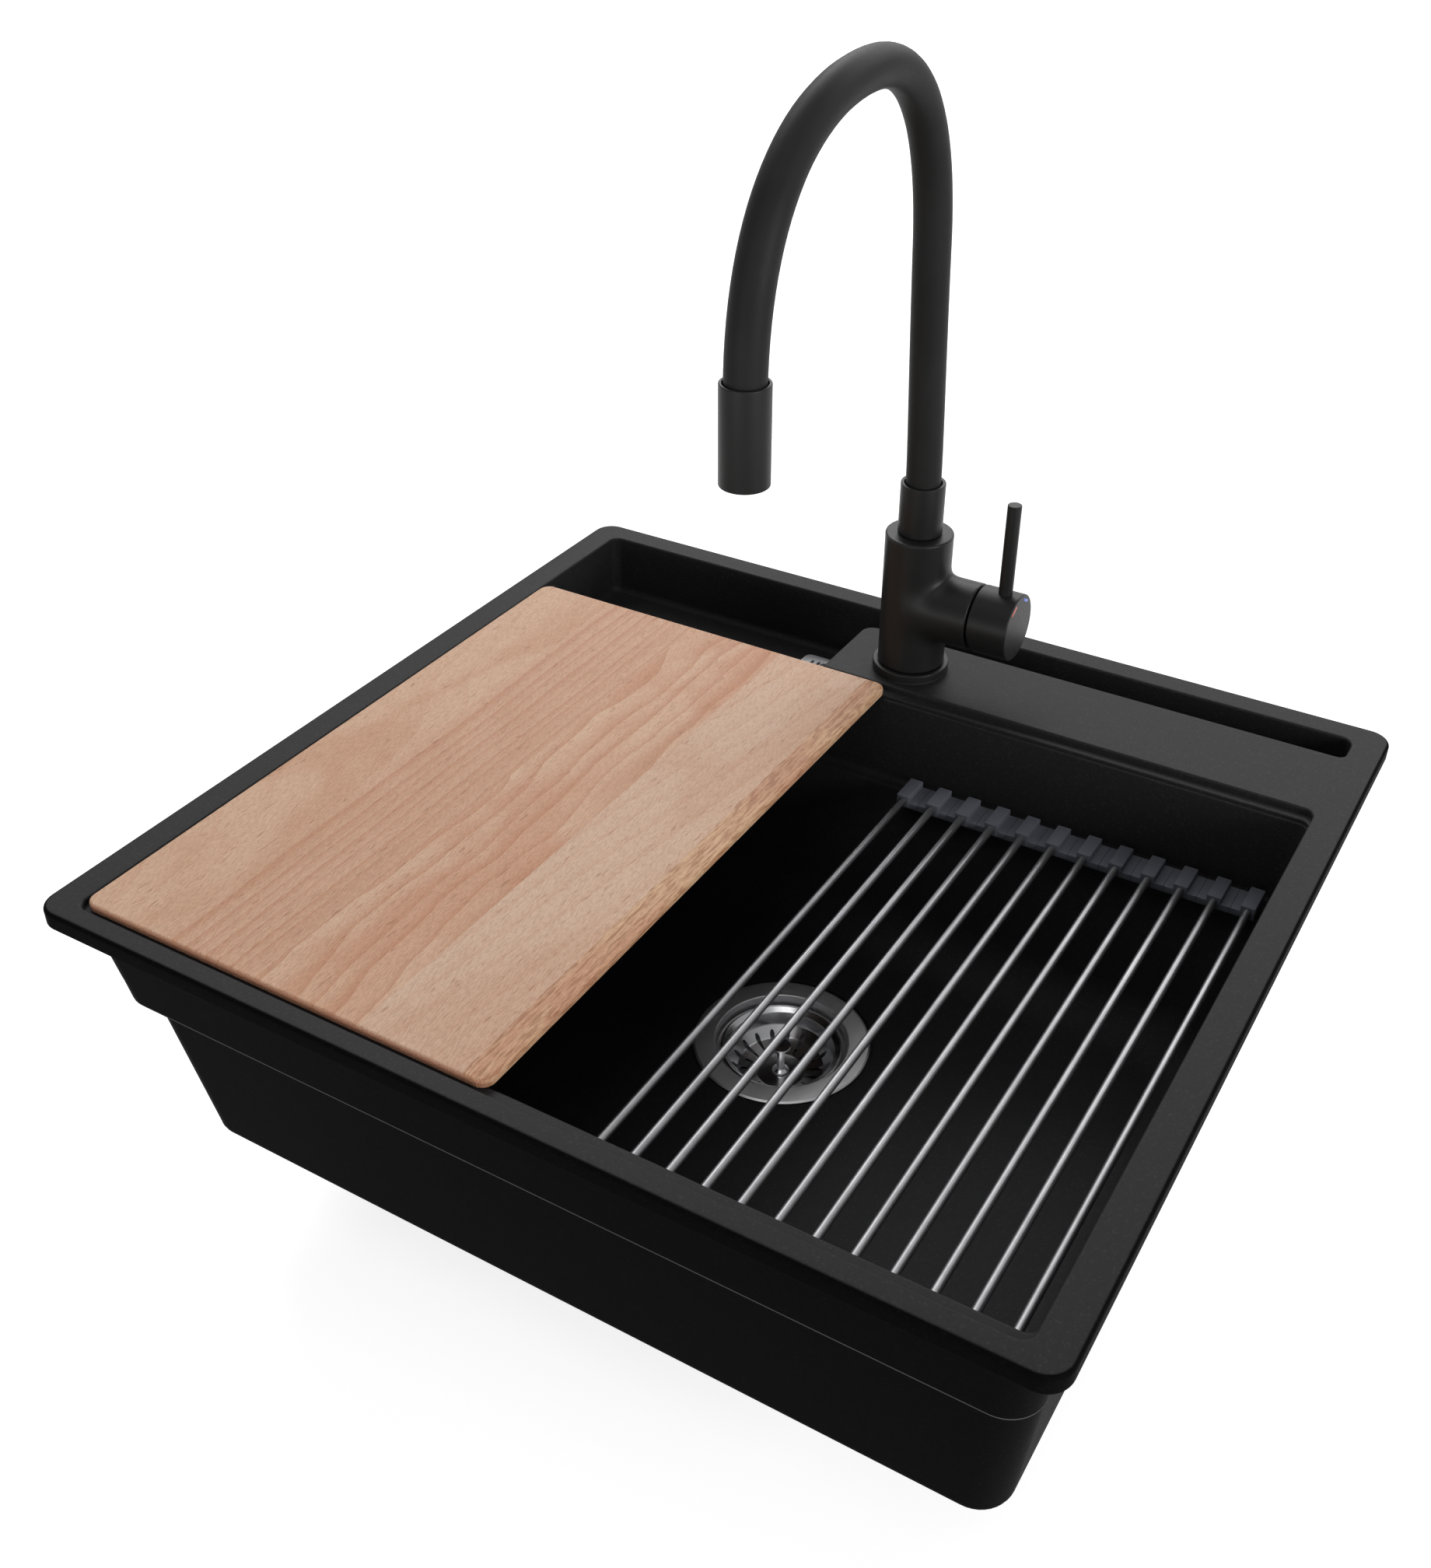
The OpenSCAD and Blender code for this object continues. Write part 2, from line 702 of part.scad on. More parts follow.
module deck_washer() {
  color([0.16, 0.16, 0.16])
  tap_ring(shank_r + 8, shank_r + fit, hollow_z - 3, 3);
}

module deck_nut() {
  color([0.72, 0.72, 0.73])
  at_tap(hollow_z - 13)
    difference() {
      cylinder(r = shank_r + 7, h = 10, $fn = 6);
      translate([0, 0, -1]) cylinder(r = shank_r + fit, h = 12);
    }
}

module spout_bush() {
  color([0.85, 0.85, 0.82])
  tap_ring(bush_r, spigot_r + 1 + fit, body_top - bush_h, bush_h - 1);
}

module spout_o_rings() {
  color([0.08, 0.08, 0.08])
  for (z = ring_levels)
    at_tap(z) rotate_extrude()
      translate([spigot_r + 0.1, 0]) circle(0.85, $fn = 24);
}

module swivel_sleeve() {
  color([0.13, 0.13, 0.13])
  at_tap()
    difference() {
      union() {
        translate([0, 0, body_top + 0.2]) cylinder(d = sleeve_d, h = sleeve_z - body_top - 0.2);
        translate([0, 0, body_top - bush_h + 1]) cylinder(r = spigot_r + 1, h = bush_h);
      }
      translate([0, 0, sleeve_z - socket_h]) cylinder(r = hose_r + 0.5, h = socket_h + 1);
      translate([0, 0, body_top - bush_h]) cylinder(r = 6, h = sleeve_z);
      for (z = ring_levels)
        translate([0, 0, z - 1])
          difference() {
            cylinder(r = spigot_r + 3, h = 2);
            translate([0, 0, -1]) cylinder(r = spigot_r - 0.8, h = 4);
          }
    }
}

// Tube swept along the legs of the centre line
module swept_tube(r) {
  path = [for (k = [0:len(hose_legs) - 1], i = [k == 0 ? 0 : 1:leg_steps[k]])
    let (t = i / leg_steps[k], p = bezier(hose_legs[k], t), d = slope(hose_legs[k], t))
    [p[0], p[1], atan2(d[1], d[0])]];
  n = hose_sides;
  last = len(path) - 1;
  points = [for (q = path, j = [0:n - 1])
    let (a = 360 * j / n)
    [r * cos(a), q[0] + r * sin(a) * sin(q[2]), q[1] - r * sin(a) * cos(q[2])]];
  sides = [for (i = [0:last - 1], j = [0:n - 1])
    let (a = i * n + j, b = i * n + (j + 1) % n)
    each [[a, a + n, b], [b, a + n, b + n]]];
  caps = [for (j = [1:n - 2]) each
    [[0, j, j + 1], [last * n, last * n + j + 1, last * n + j]]];
  polyhedron(points, concat(sides, caps));
}

module spout_hose() {
  color([0.14, 0.14, 0.14])
  at_tap() swept_tube(hose_r);
}

module spray_head() {
  color([0.13, 0.13, 0.13])
  at_tap() translate([0, nose[0], head_z - head_h])
    difference() {
      cylinder(d = head_d, h = head_h);
      translate([0, 0, head_h - head_socket]) cylinder(r = hose_r + 0.6, h = head_socket + 1);
      translate([0, 0, 8]) cylinder(r = 6, h = head_h);
      translate([0, 0, -1]) cylinder(d = head_d - 4, h = 10);
    }
}

module aerator() {
  color([0.22, 0.22, 0.22])
  at_tap() translate([0, nose[0], head_z - head_h + 1])
    difference() {
      cylinder(d = head_d - 4 - 2 * fit, h = 7);
      for (i = [0:11]) rotate(i * 30) translate([8.2, 0, -1]) cylinder(d = 1.6, h = 4);
      for (i = [0:5]) rotate(i * 60) translate([4.2, 0, -1]) cylinder(d = 1.6, h = 4);
    }
}

// Turned solid on the side arm's axis, starting at x from the tap's axis
module on_arm(x) {
  at_tap(arm_z) translate([x, 0, 0]) rotate([0, 90, 0]) children();
}

// Place by x from the tap's axis, y and z from the side arm's axis
module by_arm(x, y = 0, z = 0) {
  at_tap(arm_z) translate([x, y, z]) children();
}

module cartridge_body() {
  color([0.86, 0.86, 0.84])
  on_arm(10 + play)
    difference() {
      cylinder(r = bore_r - 0.3, h = arm_w - 16);
      translate([0, 0, arm_w - 22]) cylinder(r = carrier_r + fit, h = 20);
    }
}

module cartridge_nut() {
  color([0.76, 0.64, 0.36])
  on_arm(arm_w - 5.5)
    difference() {
      union() {
        cylinder(r = bore_r - fit, h = 5);
        cylinder(r = nut_r - 1, h = 10);
      }
      translate([0, 0, -1]) cylinder(r = carrier_r + fit, h = 12);
    }
}

module cartridge_carrier() {
  color([0.80, 0.80, 0.78])
  difference() {
    on_arm(arm_w - 11.5) cylinder(r = carrier_r, h = 16.5);
    by_arm(arm_w - 9, -stem_w / 2 - fit, -stem_w) cube([20, stem_w + 2 * fit, 2 * stem_w]);
    by_arm(cap_x) rotate([90, 0, 0]) cylinder(d = axle_d, h = 2 * carrier_r + 2, center = true);
  }
}

module carrier_pin() {
  color([0.78, 0.78, 0.79])
  by_arm(cap_x) rotate([90, 0, 0]) cylinder(d = axle_d, h = 2 * carrier_r - 1.6, center = true);
}

module cartridge_stem() {
  color([0.78, 0.66, 0.38])
  difference() {
    by_arm(cap_x - 5, -stem_w / 2, -stem_w / 2) cube([cap_l - 5, stem_w, stem_w]);
    by_arm(cap_x) rotate([90, 0, 0]) cylinder(d = axle_d + 2 * fit, h = 20, center = true);
  }
}

module lever_cap() {
  color([0.13, 0.13, 0.13])
  difference() {
    on_arm(cap_x) cylinder(r = body_r2, h = cap_l);
    difference() {
      on_arm(cap_x - 1) cylinder(r = body_r2 - 2.5, h = cap_l - 3);
      on_arm(cap_x + 8) cylinder(r = 10, h = cap_l);
    }
    by_arm(cap_x, -stem_w / 2 - fit, -stem_w / 2 - fit)
      cube([cap_l - 10 + fit, stem_w + 2 * fit, stem_w + 2 * fit]);
    by_arm(cap_x, -body_d / 2 - 1) rotate([0, -relief, 0])
      translate([-body_d, 0, -2 * body_d]) cube([body_d, body_d + 2, 2 * body_d]);
    by_arm(pin_x, 0, pin_seat) cylinder(d = pin_d, h = body_d);
    by_arm(pin_x, 0, -body_d) cylinder(d = grub_d, h = body_d - stem_w / 2 - fit);
    for (side = [1, -1]) mark(side * mark_turn);
  }
}

module lever_pin() {
  color([0.13, 0.13, 0.13])
  by_arm(pin_x, 0, pin_seat + fit) cylinder(d = pin_d, h = pin_z - arm_z - pin_seat - fit);
}

module lever_set_screw() {
  color([0.60, 0.60, 0.61])
  by_arm(pin_x, 0, -body_r2 + 2.5)
    difference() {
      cylinder(d = grub_d, h = body_r2 - stem_w / 2 - 2.5 - 2 * fit);
      translate([0, 0, -1]) cylinder(d = 2.8, h = 4, $fn = 6);
    }
}

// Bar let into the cap's end face, turned about the arm's axis
module mark(angle) {
  by_arm(cap_end - mark_t) rotate([angle, 0, 0])
    translate([0, -mark_l / 2, body_r2 - mark_in]) cube([mark_t, mark_l, mark_w]);
}

module hot_mark() {
  color([0.85, 0.20, 0.15]) mark(mark_turn);
}

module cold_mark() {
  color([0.20, 0.30, 0.80]) mark(-mark_turn);
}

module rack_rod(i) {
  color([0.75, 0.75, 0.76])
  translate([rod_x + i * rod_pitch, rod_y0 - link_d + rod_in, rod_z]) rotate([-90, 0, 0])
    cylinder(d = rod_d, h = rod_y1 - rod_y0 + 2 * link_d - 2 * rod_in);
}

// End blocks of one rod, each with its half of the web to the next block
module rack_link(i) {
  web_l = i == 0 ? link_w / 2 : (rod_pitch - web_gap) / 2;
  web_r = i == rods - 1 ? link_w / 2 : (rod_pitch - web_gap) / 2;
  color([0.22, 0.23, 0.26])
  translate([rod_x + i * rod_pitch, 0, rack_z + fit])
    for (side = [0, 1]) {
      y = side == 0 ? rod_y0 - link_d : rod_y1;
      difference() {
        union() {
          translate([-link_w / 2, y, 0]) cube([link_w, link_d, link_h]);
          translate([-web_l, y, 0]) cube([web_l + web_r, link_d, web_t]);
        }
        translate([0, side == 0 ? y + rod_in : y - 1, rod_d]) rotate([-90, 0, 0])
          cylinder(d = rod_d, h = link_d - rod_in + 1);
      }
    }
}

sink_bowl();
cutting_board();
strainer_flange();
strainer_gasket();
strainer_basket();
basket_post();
basket_stopper();
strainer_body();
body_gasket();
strainer_screw();
overflow_cover();
overflow_gasket();
overflow_screw();
overflow_elbow();
base_seal();
tap_base_ring();
tap_body();
tap_shank();
deck_washer();
deck_nut();
spout_bush();
spout_o_rings();
swivel_sleeve();
spout_hose();
spray_head();
aerator();
cartridge_body();
cartridge_nut();
cartridge_carrier();
carrier_pin();
cartridge_stem();
lever_cap();
lever_pin();
lever_set_screw();
hot_mark();
cold_mark();
for (i = [0:rods - 1]) rack_rod(i);
for (i = [0:rods - 1]) rack_link(i);
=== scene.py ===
import json
import math
import bmesh
import bpy
from mathutils import Matrix, Vector


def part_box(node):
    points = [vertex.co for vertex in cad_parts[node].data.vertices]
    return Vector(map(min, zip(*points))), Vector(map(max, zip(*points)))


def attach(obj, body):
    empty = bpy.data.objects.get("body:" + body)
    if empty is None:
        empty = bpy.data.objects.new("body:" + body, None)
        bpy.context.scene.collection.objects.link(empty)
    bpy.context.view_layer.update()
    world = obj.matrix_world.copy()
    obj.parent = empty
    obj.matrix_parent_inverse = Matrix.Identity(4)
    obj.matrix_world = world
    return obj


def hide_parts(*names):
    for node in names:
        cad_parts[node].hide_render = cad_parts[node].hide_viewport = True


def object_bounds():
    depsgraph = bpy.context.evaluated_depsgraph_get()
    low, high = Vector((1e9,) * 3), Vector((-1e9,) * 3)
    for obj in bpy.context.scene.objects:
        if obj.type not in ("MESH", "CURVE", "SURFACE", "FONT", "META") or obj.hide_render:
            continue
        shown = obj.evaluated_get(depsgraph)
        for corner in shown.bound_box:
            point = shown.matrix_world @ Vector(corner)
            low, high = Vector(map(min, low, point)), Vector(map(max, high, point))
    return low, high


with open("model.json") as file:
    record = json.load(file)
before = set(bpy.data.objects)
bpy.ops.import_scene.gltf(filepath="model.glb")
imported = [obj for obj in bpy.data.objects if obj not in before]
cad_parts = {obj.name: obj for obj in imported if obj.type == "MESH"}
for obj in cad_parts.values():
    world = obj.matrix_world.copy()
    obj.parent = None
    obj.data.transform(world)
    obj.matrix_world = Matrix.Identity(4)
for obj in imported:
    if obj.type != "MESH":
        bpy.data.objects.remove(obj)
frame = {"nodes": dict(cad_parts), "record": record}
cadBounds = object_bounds()
nodes = frame["nodes"]
mm = 0.001
print("frame loaded")


# solved from the rim's straight edges; the lens and the sensor's height are in millimetres
camera = {
    "place": (0.3988, -0.7164, 0.5926),
    "look": (-0.4252, 0.7080, -0.5640),
    "lens": 39.12,
    "sensor": 36.0,
}
camData = bpy.data.cameras.new("photoCamera")
camData.sensor_fit = "VERTICAL"
camData.sensor_height = camera["sensor"]
camData.lens = camera["lens"]
camObject = bpy.data.objects.new("photoCamera", camData)
camObject.location = camera["place"]
camObject.rotation_euler = Vector(camera["look"]).to_track_quat("-Z", "Y").to_euler()
bpy.context.scene.collection.objects.link(camObject)
bpy.context.scene.camera = camObject
bpy.context.scene.view_settings.view_transform = "Standard"
print("camera set")


def hexColour(text):
    # sRGB as written, to the linear values that sockets take
    values = [int(text[i:i + 2], 16) / 255 for i in (1, 3, 5)]
    return tuple(v / 12.92 if v <= 0.04045 else ((v + 0.055) / 1.055) ** 2.4 for v in values) + (1.0,)


def addNode(tree, kind, inputs=None, **settings):
    # an input is a value, or an output of another node to link
    made = tree.nodes.new(kind)
    for name, value in settings.items():
        setattr(made, name, value)
    for name, value in (inputs or {}).items():
        if isinstance(value, bpy.types.NodeSocket):
            tree.links.new(value, made.inputs[name])
        else:
            made.inputs[name].default_value = value
    return made


def startMaterial(name, **values):
    # the values go straight onto the shader's sockets
    material = bpy.data.materials.new(name)
    material.use_nodes = True
    tree = material.node_tree
    shader = tree.nodes["Principled BSDF"]
    for key, value in values.items():
        shader.inputs[key.replace("_", " ")].default_value = value
    where = addNode(tree, "ShaderNodeTexCoord").outputs["Object"]
    return material, tree, shader, where


def setRamp(ramp, stops):
    # stops are (place, hex colour or grey)
    elements = ramp.color_ramp.elements
    elements[0].position, elements[1].position = stops[0][0], stops[-1][0]
    for place, colour in stops[1:-1]:
        elements.new(place)
    for element, (place, colour) in zip(elements, stops):
        element.color = hexColour(colour) if isinstance(colour, str) else (colour,) * 3 + (1.0,)


def addGrit(tree, shader, where, grit, rough, height, bump=0.3):
    # fine random roughness, and relief where it has a height; both sizes are in metres
    noise = addNode(tree, "ShaderNodeTexNoise", {"Vector": where, "Scale": 1 / grit, "Detail": 3.0})
    spread = addNode(tree, "ShaderNodeMapRange", {
        "Value": noise.outputs["Fac"], "From Min": 0.3, "From Max": 0.7, "To Min": rough[0],
        "To Max": rough[1]})
    tree.links.new(spread.outputs["Result"], shader.inputs["Roughness"])
    if height:
        relief = addNode(tree, "ShaderNodeBump", {
            "Height": noise.outputs["Fac"], "Strength": bump, "Distance": height})
        tree.links.new(relief.outputs["Normal"], shader.inputs["Normal"])


# sizes in metres; three tints from the ground to the rarest grains, inside and outside; the outside's darker
# tints are painted shade
granite = {
    "grain": 0.0012,
    "grit": 0.0009,
    "rough": (0.44, 0.54),
    "shine": (0.08, 0.004),
    "inside": ("#222223", "#252526", "#2c2c2e"),
    "outside": ("#0c0c0c", "#0d0d0d", "#121212"),
    # the crease's height, half its width and the tint of its painted highlight
    "creaseZ": -0.0588,
    "creaseHalf": 0.0006,
    "creaseHighlightTint": "#5c5c5e",
}


def makeComposite():
    # moulded granite composite: satin near-black with faint grains where the mould is polished, and duller on
    # the outside, below the rim, where a darker tint is painted shade
    material, tree, shader, where = startMaterial("graniteComposite", IOR=1.5)
    # a wall that looks away from the middle of the sink is an outside wall
    normal = addNode(tree, "ShaderNodeNewGeometry").outputs["Normal"]
    flat = addNode(tree, "ShaderNodeVectorMath", {0: normal, 1: (1.0, 1.0, 0.0)}, operation="MULTIPLY")
    outward = addNode(tree, "ShaderNodeVectorMath", {
        0: flat.outputs["Vector"], 1: where}, operation="DOT_PRODUCT")
    outside = addNode(tree, "ShaderNodeMapRange", {
        "Value": outward.outputs["Value"], "From Min": 0.06, "From Max": 0.15}).outputs["Result"]
    shine = addNode(tree, "ShaderNodeMapRange", {
        "Value": outside, "To Min": granite["shine"][0], "To Max": granite["shine"][1]})
    tree.links.new(shine.outputs["Result"], shader.inputs["Specular IOR Level"])
    addGrit(tree, shader, where, granite["grit"], granite["rough"], 0.00006, 0.2)
    grain = addNode(tree, "ShaderNodeTexVoronoi", {"Vector": where, "Scale": 1 / granite["grain"]})
    pick = addNode(tree, "ShaderNodeTexWhiteNoise", {"Vector": grain.outputs["Position"]})
    sides = []
    for side in ("inside", "outside"):
        ramp = addNode(tree, "ShaderNodeValToRGB", {"Fac": pick.outputs["Value"]})
        setRamp(ramp, list(zip((0.0, 0.86, 1.0), granite[side])))
        sides.append(ramp.outputs["Color"])
    # the outside walls take the darker tints: painted shade, not a different stone
    both = addNode(tree, "ShaderNodeMix", {"Factor": outside, "A": sides[0], "B": sides[1]}, data_type="RGBA")
    # a paler band along the crease around the outside is a painted highlight on the crease's edge
    height = addNode(tree, "ShaderNodeSeparateXYZ", {"Vector": where}).outputs["Z"]
    edge = addNode(tree, "ShaderNodeMath", {
        0: height, 1: granite["creaseZ"], 2: granite["creaseHalf"]}, operation="COMPARE")
    paintedCreaseHighlight = addNode(tree, "ShaderNodeMath", {0: edge.outputs[0], 1: outside}, operation="MULTIPLY")
    final = addNode(tree, "ShaderNodeMix", {
        "Factor": paintedCreaseHighlight.outputs[0], "A": both.outputs["Result"],
        "B": hexColour(granite["creaseHighlightTint"])}, data_type="RGBA")
    tree.links.new(final.outputs["Result"], shader.inputs["Base Color"])
    return material


# each stave's left edge in metres and how it is cut: rings per metre, wander in metres, lean, depth, two tints
staves = [
    {"from": -0.280, "rings": 42, "wander": 0.050, "lean": 0.30, "depth": 0.26,
     "tints": ("#bd9478", "#c6a389")},
    {"from": -0.2205, "rings": -118, "wander": 0.008, "lean": 0.01, "depth": 0.85,
     "tints": ("#be967b", "#c29b81")},
    {"from": -0.1505, "rings": 62, "wander": 0.046, "lean": 0.02, "depth": 0.95,
     "tints": ("#c09479", "#c8a58b")},
    {"from": -0.081, "rings": 70, "wander": 0.014, "lean": -0.13, "depth": 0.34,
     "tints": ("#c29f86", "#c8a992")},
    {"from": -0.016, "rings": -210, "wander": 0.004, "lean": 0.0, "depth": 0.85,
     "tints": ("#bf9476", "#cba785")},
]

# tints, and the widths in metres of the dashes
wood = {
    "lateWood": "#a96f4d",
    "ray": "#8a5636",
    "rayWidth": 0.0015,
    "pore": "#8f5c3c",
    "poreWidth": 0.0008,
    "endGrain": "#bb8266",
}


def staveSteps(tree, share, values):
    # a stepped ramp across the board that holds one value for each stave
    steps = addNode(tree, "ShaderNodeValToRGB", {"Fac": share})
    steps.color_ramp.interpolation = "CONSTANT"
    left = staves[0]["from"]
    setRamp(steps, [((stave["from"] - left) / -left, value) for stave, value in zip(staves, values)])
    return steps.outputs["Color"]


def makeBeech():
    # oiled beech, glued from staves: pinkish ground, yearly rings cut differently in each, short dark flecks
    material, tree, shader, where = startMaterial("oiledBeech", IOR=1.47, Specular_IOR_Level=0.3)
    split = addNode(tree, "ShaderNodeSeparateXYZ", {"Vector": where})
    share = addNode(tree, "ShaderNodeMapRange", {
        "Value": split.outputs["X"], "From Min": staves[0]["from"], "From Max": 0.0}).outputs["Result"]
    made = {}
    for key in ("rings", "wander", "lean", "depth"):
        values = [stave[key] for stave in staves]
        least, most = min(values), max(values)
        steps = staveSteps(tree, share, [(value - least) / (most - least) for value in values])
        spread = addNode(tree, "ShaderNodeMapRange", {"Value": steps, "To Min": least, "To Max": most})
        made[key] = spread.outputs["Result"]
    tints = [staveSteps(tree, share, [stave["tints"][pick] for stave in staves]) for pick in (0, 1)]
    # each stave takes its own stretch of the noise, drawn out along the grain
    shift = addNode(tree, "ShaderNodeCombineXYZ", {"Y": made["rings"], "Z": made["lean"]})
    moved = addNode(tree, "ShaderNodeVectorMath", {0: where, 1: shift.outputs["Vector"]}, operation="ADD")
    stretch = addNode(tree, "ShaderNodeMapping", {
        "Vector": moved.outputs["Vector"], "Scale": (0.7, 0.30, 1.0)}).outputs["Vector"]
    waves = addNode(tree, "ShaderNodeTexNoise", {
        "Vector": stretch, "Scale": 26.0, "Detail": 2.0, "Roughness": 0.42})
    centred = addNode(tree, "ShaderNodeMath", {0: waves.outputs["Fac"], 1: 0.5}, operation="SUBTRACT")
    bend = addNode(tree, "ShaderNodeMath", {0: centred.outputs[0], 1: made["wander"]}, operation="MULTIPLY")
    slant = addNode(tree, "ShaderNodeMath", {
        0: split.outputs["Y"], 1: made["lean"], 2: bend.outputs[0]}, operation="MULTIPLY_ADD")
    across = addNode(tree, "ShaderNodeMath", {0: split.outputs["X"], 1: slant.outputs[0]}, operation="ADD")
    # year widths differ, so the count runs unevenly across
    years = addNode(tree, "ShaderNodeTexNoise", {
        "W": across.outputs[0], "Scale": 42.0, "Detail": 1.0}, noise_dimensions="1D")
    uneven = addNode(tree, "ShaderNodeMath", {
        0: years.outputs["Fac"], 1: 0.022, 2: across.outputs[0]}, operation="MULTIPLY_ADD")
    count = addNode(tree, "ShaderNodeMath", {0: uneven.outputs[0], 1: made["rings"]}, operation="MULTIPLY")
    ring = addNode(tree, "ShaderNodeMath", {0: count.outputs[0]}, operation="FRACT")
    rings = addNode(tree, "ShaderNodeValToRGB", {"Fac": ring.outputs[0]})
    setRamp(rings, [(0.0, 0.0), (0.30, 0.08), (0.72, 0.40), (0.93, 0.85), (0.975, 1.0), (1.0, 0.0)])
    # soft clouds, from the lighter tint to the darker one
    clouds = addNode(tree, "ShaderNodeTexNoise", {
        "Vector": stretch, "Scale": 22.0, "Detail": 3.0, "Distortion": 0.6})
    cloudy = addNode(tree, "ShaderNodeMapRange", {
        "Value": clouds.outputs["Fac"], "From Min": 0.40, "From Max": 0.56}, interpolation_type="SMOOTHSTEP")
    ground = addNode(tree, "ShaderNodeMix", {
        "Factor": cloudy.outputs["Result"], "A": tints[0], "B": tints[1]}, data_type="RGBA")
    weight = addNode(tree, "ShaderNodeMath", {
        0: rings.outputs["Color"], 1: made["depth"]}, operation="MULTIPLY")
    amount = addNode(tree, "ShaderNodeMath", {0: weight.outputs[0], 1: 0.62}, operation="MULTIPLY")
    ringed = addNode(tree, "ShaderNodeMix", {
        "Factor": amount.outputs[0], "A": ground.outputs["Result"],
        "B": hexColour(wood["lateWood"])}, data_type="RGBA")
    # pores are 0.1 mm wide, too fine to show, so these are drawn 0.8 mm wide and 4 mm long
    thin = addNode(tree, "ShaderNodeMapping", {
        "Vector": where, "Rotation": (0, 0, math.radians(4)), "Scale": (1.0, 0.20, 1.0)})
    pores = addNode(tree, "ShaderNodeTexNoise", {
        "Vector": thin.outputs["Vector"], "Scale": 1 / wood["poreWidth"], "Detail": 2.0})
    # rays: dark dashes 1.5 mm wide and 12 mm long, thick in the outer stave and scattered elsewhere
    rays = addNode(tree, "ShaderNodeMapping", {"Vector": where, "Scale": (1.0, 0.13, 1.0)})
    dashes = addNode(tree, "ShaderNodeTexNoise", {
        "Vector": rays.outputs["Vector"], "Scale": 1 / wood["rayWidth"], "Detail": 2.0})
    outer = addNode(tree, "ShaderNodeMath", {
        0: split.outputs["X"], 1: staves[-1]["from"]}, operation="GREATER_THAN")
    low = addNode(tree, "ShaderNodeMapRange", {"Value": outer.outputs[0], "To Min": 0.24, "To Max": 0.38})
    high = addNode(tree, "ShaderNodeMapRange", {"Value": outer.outputs[0], "To Min": 0.37, "To Max": 0.52})
    dark = addNode(tree, "ShaderNodeMapRange", {
        "Value": dashes.outputs["Fac"], "From Min": low.outputs["Result"],
        "From Max": high.outputs["Result"], "To Min": 0.62, "To Max": 0.0})
    dashed = addNode(tree, "ShaderNodeMix", {
        "Factor": dark.outputs["Result"], "A": ringed.outputs["Result"],
        "B": hexColour(wood["ray"])}, data_type="RGBA")
    faint = addNode(tree, "ShaderNodeMapRange", {
        "Value": pores.outputs["Fac"], "From Min": 0.34, "From Max": 0.56, "To Min": 0.28, "To Max": 0.0})
    top = addNode(tree, "ShaderNodeMix", {
        "Factor": faint.outputs["Result"], "A": dashed.outputs["Result"],
        "B": hexColour(wood["pore"])}, data_type="RGBA")
    # end grain drinks more oil, so the faces that look along the grain are redder
    facing = addNode(tree, "ShaderNodeNewGeometry")
    normal = addNode(tree, "ShaderNodeSeparateXYZ", {"Vector": facing.outputs["Normal"]})
    along = addNode(tree, "ShaderNodeMath", {0: normal.outputs["Y"]}, operation="ABSOLUTE")
    end = addNode(tree, "ShaderNodeMapRange", {
        "Value": along.outputs[0], "From Min": 0.5, "From Max": 0.95, "To Min": 0.0, "To Max": 0.85})
    final = addNode(tree, "ShaderNodeMix", {
        "Factor": end.outputs["Result"], "A": top.outputs["Result"],
        "B": hexColour(wood["endGrain"])}, data_type="RGBA")
    tree.links.new(final.outputs["Result"], shader.inputs["Base Color"])
    rough = addNode(tree, "ShaderNodeMapRange", {"Value": pores.outputs["Fac"], "To Min": 0.46, "To Max": 0.64})
    tree.links.new(rough.outputs["Result"], shader.inputs["Roughness"])
    relief = addNode(tree, "ShaderNodeBump", {
        "Height": pores.outputs["Fac"], "Strength": 0.8, "Distance": 0.0009})
    grooves = addNode(tree, "ShaderNodeBump", {
        "Height": dark.outputs["Result"], "Strength": 0.5, "Distance": 0.0003,
        "Normal": relief.outputs["Normal"]}, invert=True)
    tree.links.new(grooves.outputs["Normal"], shader.inputs["Normal"])
    return material


def addClouds(tree, shader, where, scale, detail, colours):
    # faint patches between two near tints
    cloud = addNode(tree, "ShaderNodeTexNoise", {"Vector": where, "Scale": scale, "Detail": detail})
    ramp = addNode(tree, "ShaderNodeValToRGB", {"Fac": cloud.outputs["Fac"]})
    setRamp(ramp, [(0.3, colours[0]), (0.7, colours[1])])
    tree.links.new(ramp.outputs["Color"], shader.inputs["Base Color"])


def makeMetal(name, colours, rough, grit, height, stretch=(1.0, 1.0, 1.0)):
    # bare metal with smudges; the grit is drawn out where the metal was drawn or turned
    material, tree, shader, where = startMaterial(name, Metallic=1.0)
    drawn = addNode(tree, "ShaderNodeMapping", {"Vector": where, "Scale": stretch}).outputs["Vector"]
    addGrit(tree, shader, drawn, grit, rough, height)
    addClouds(tree, shader, where, 60.0, 2.0, colours)
    return material


def makeCoat(name, colours, rough, grit, height, **values):
    # a dull skin: powder coat, rubber, silicone, moulded plastic or enamel
    material, tree, shader, where = startMaterial(name, **values)
    addGrit(tree, shader, where, grit, rough, height)
    addClouds(tree, shader, where, 35.0, 3.0, colours)
    return material


composite = makeComposite()
beech = makeBeech()
# satin stainless steel, pressed: an even soft grey without mirror images
satinSteel = makeMetal("satinSteel", ("#d6d6d8", "#dededf"), (0.42, 0.50), 0.002, 0)
# polished stainless steel: slightly blurred mirror images
polishedSteel = makeMetal("polishedSteel", ("#d8d8da", "#e2e2e4"), (0.18, 0.24), 0.003, 0)
# drawn stainless bar: one soft bright line along each rod
rodSteel = makeMetal("drawnSteelRod", ("#828284", "#8e8e90"), (0.40, 0.46), 0.004, 0, (1.0, 0.05, 1.0))
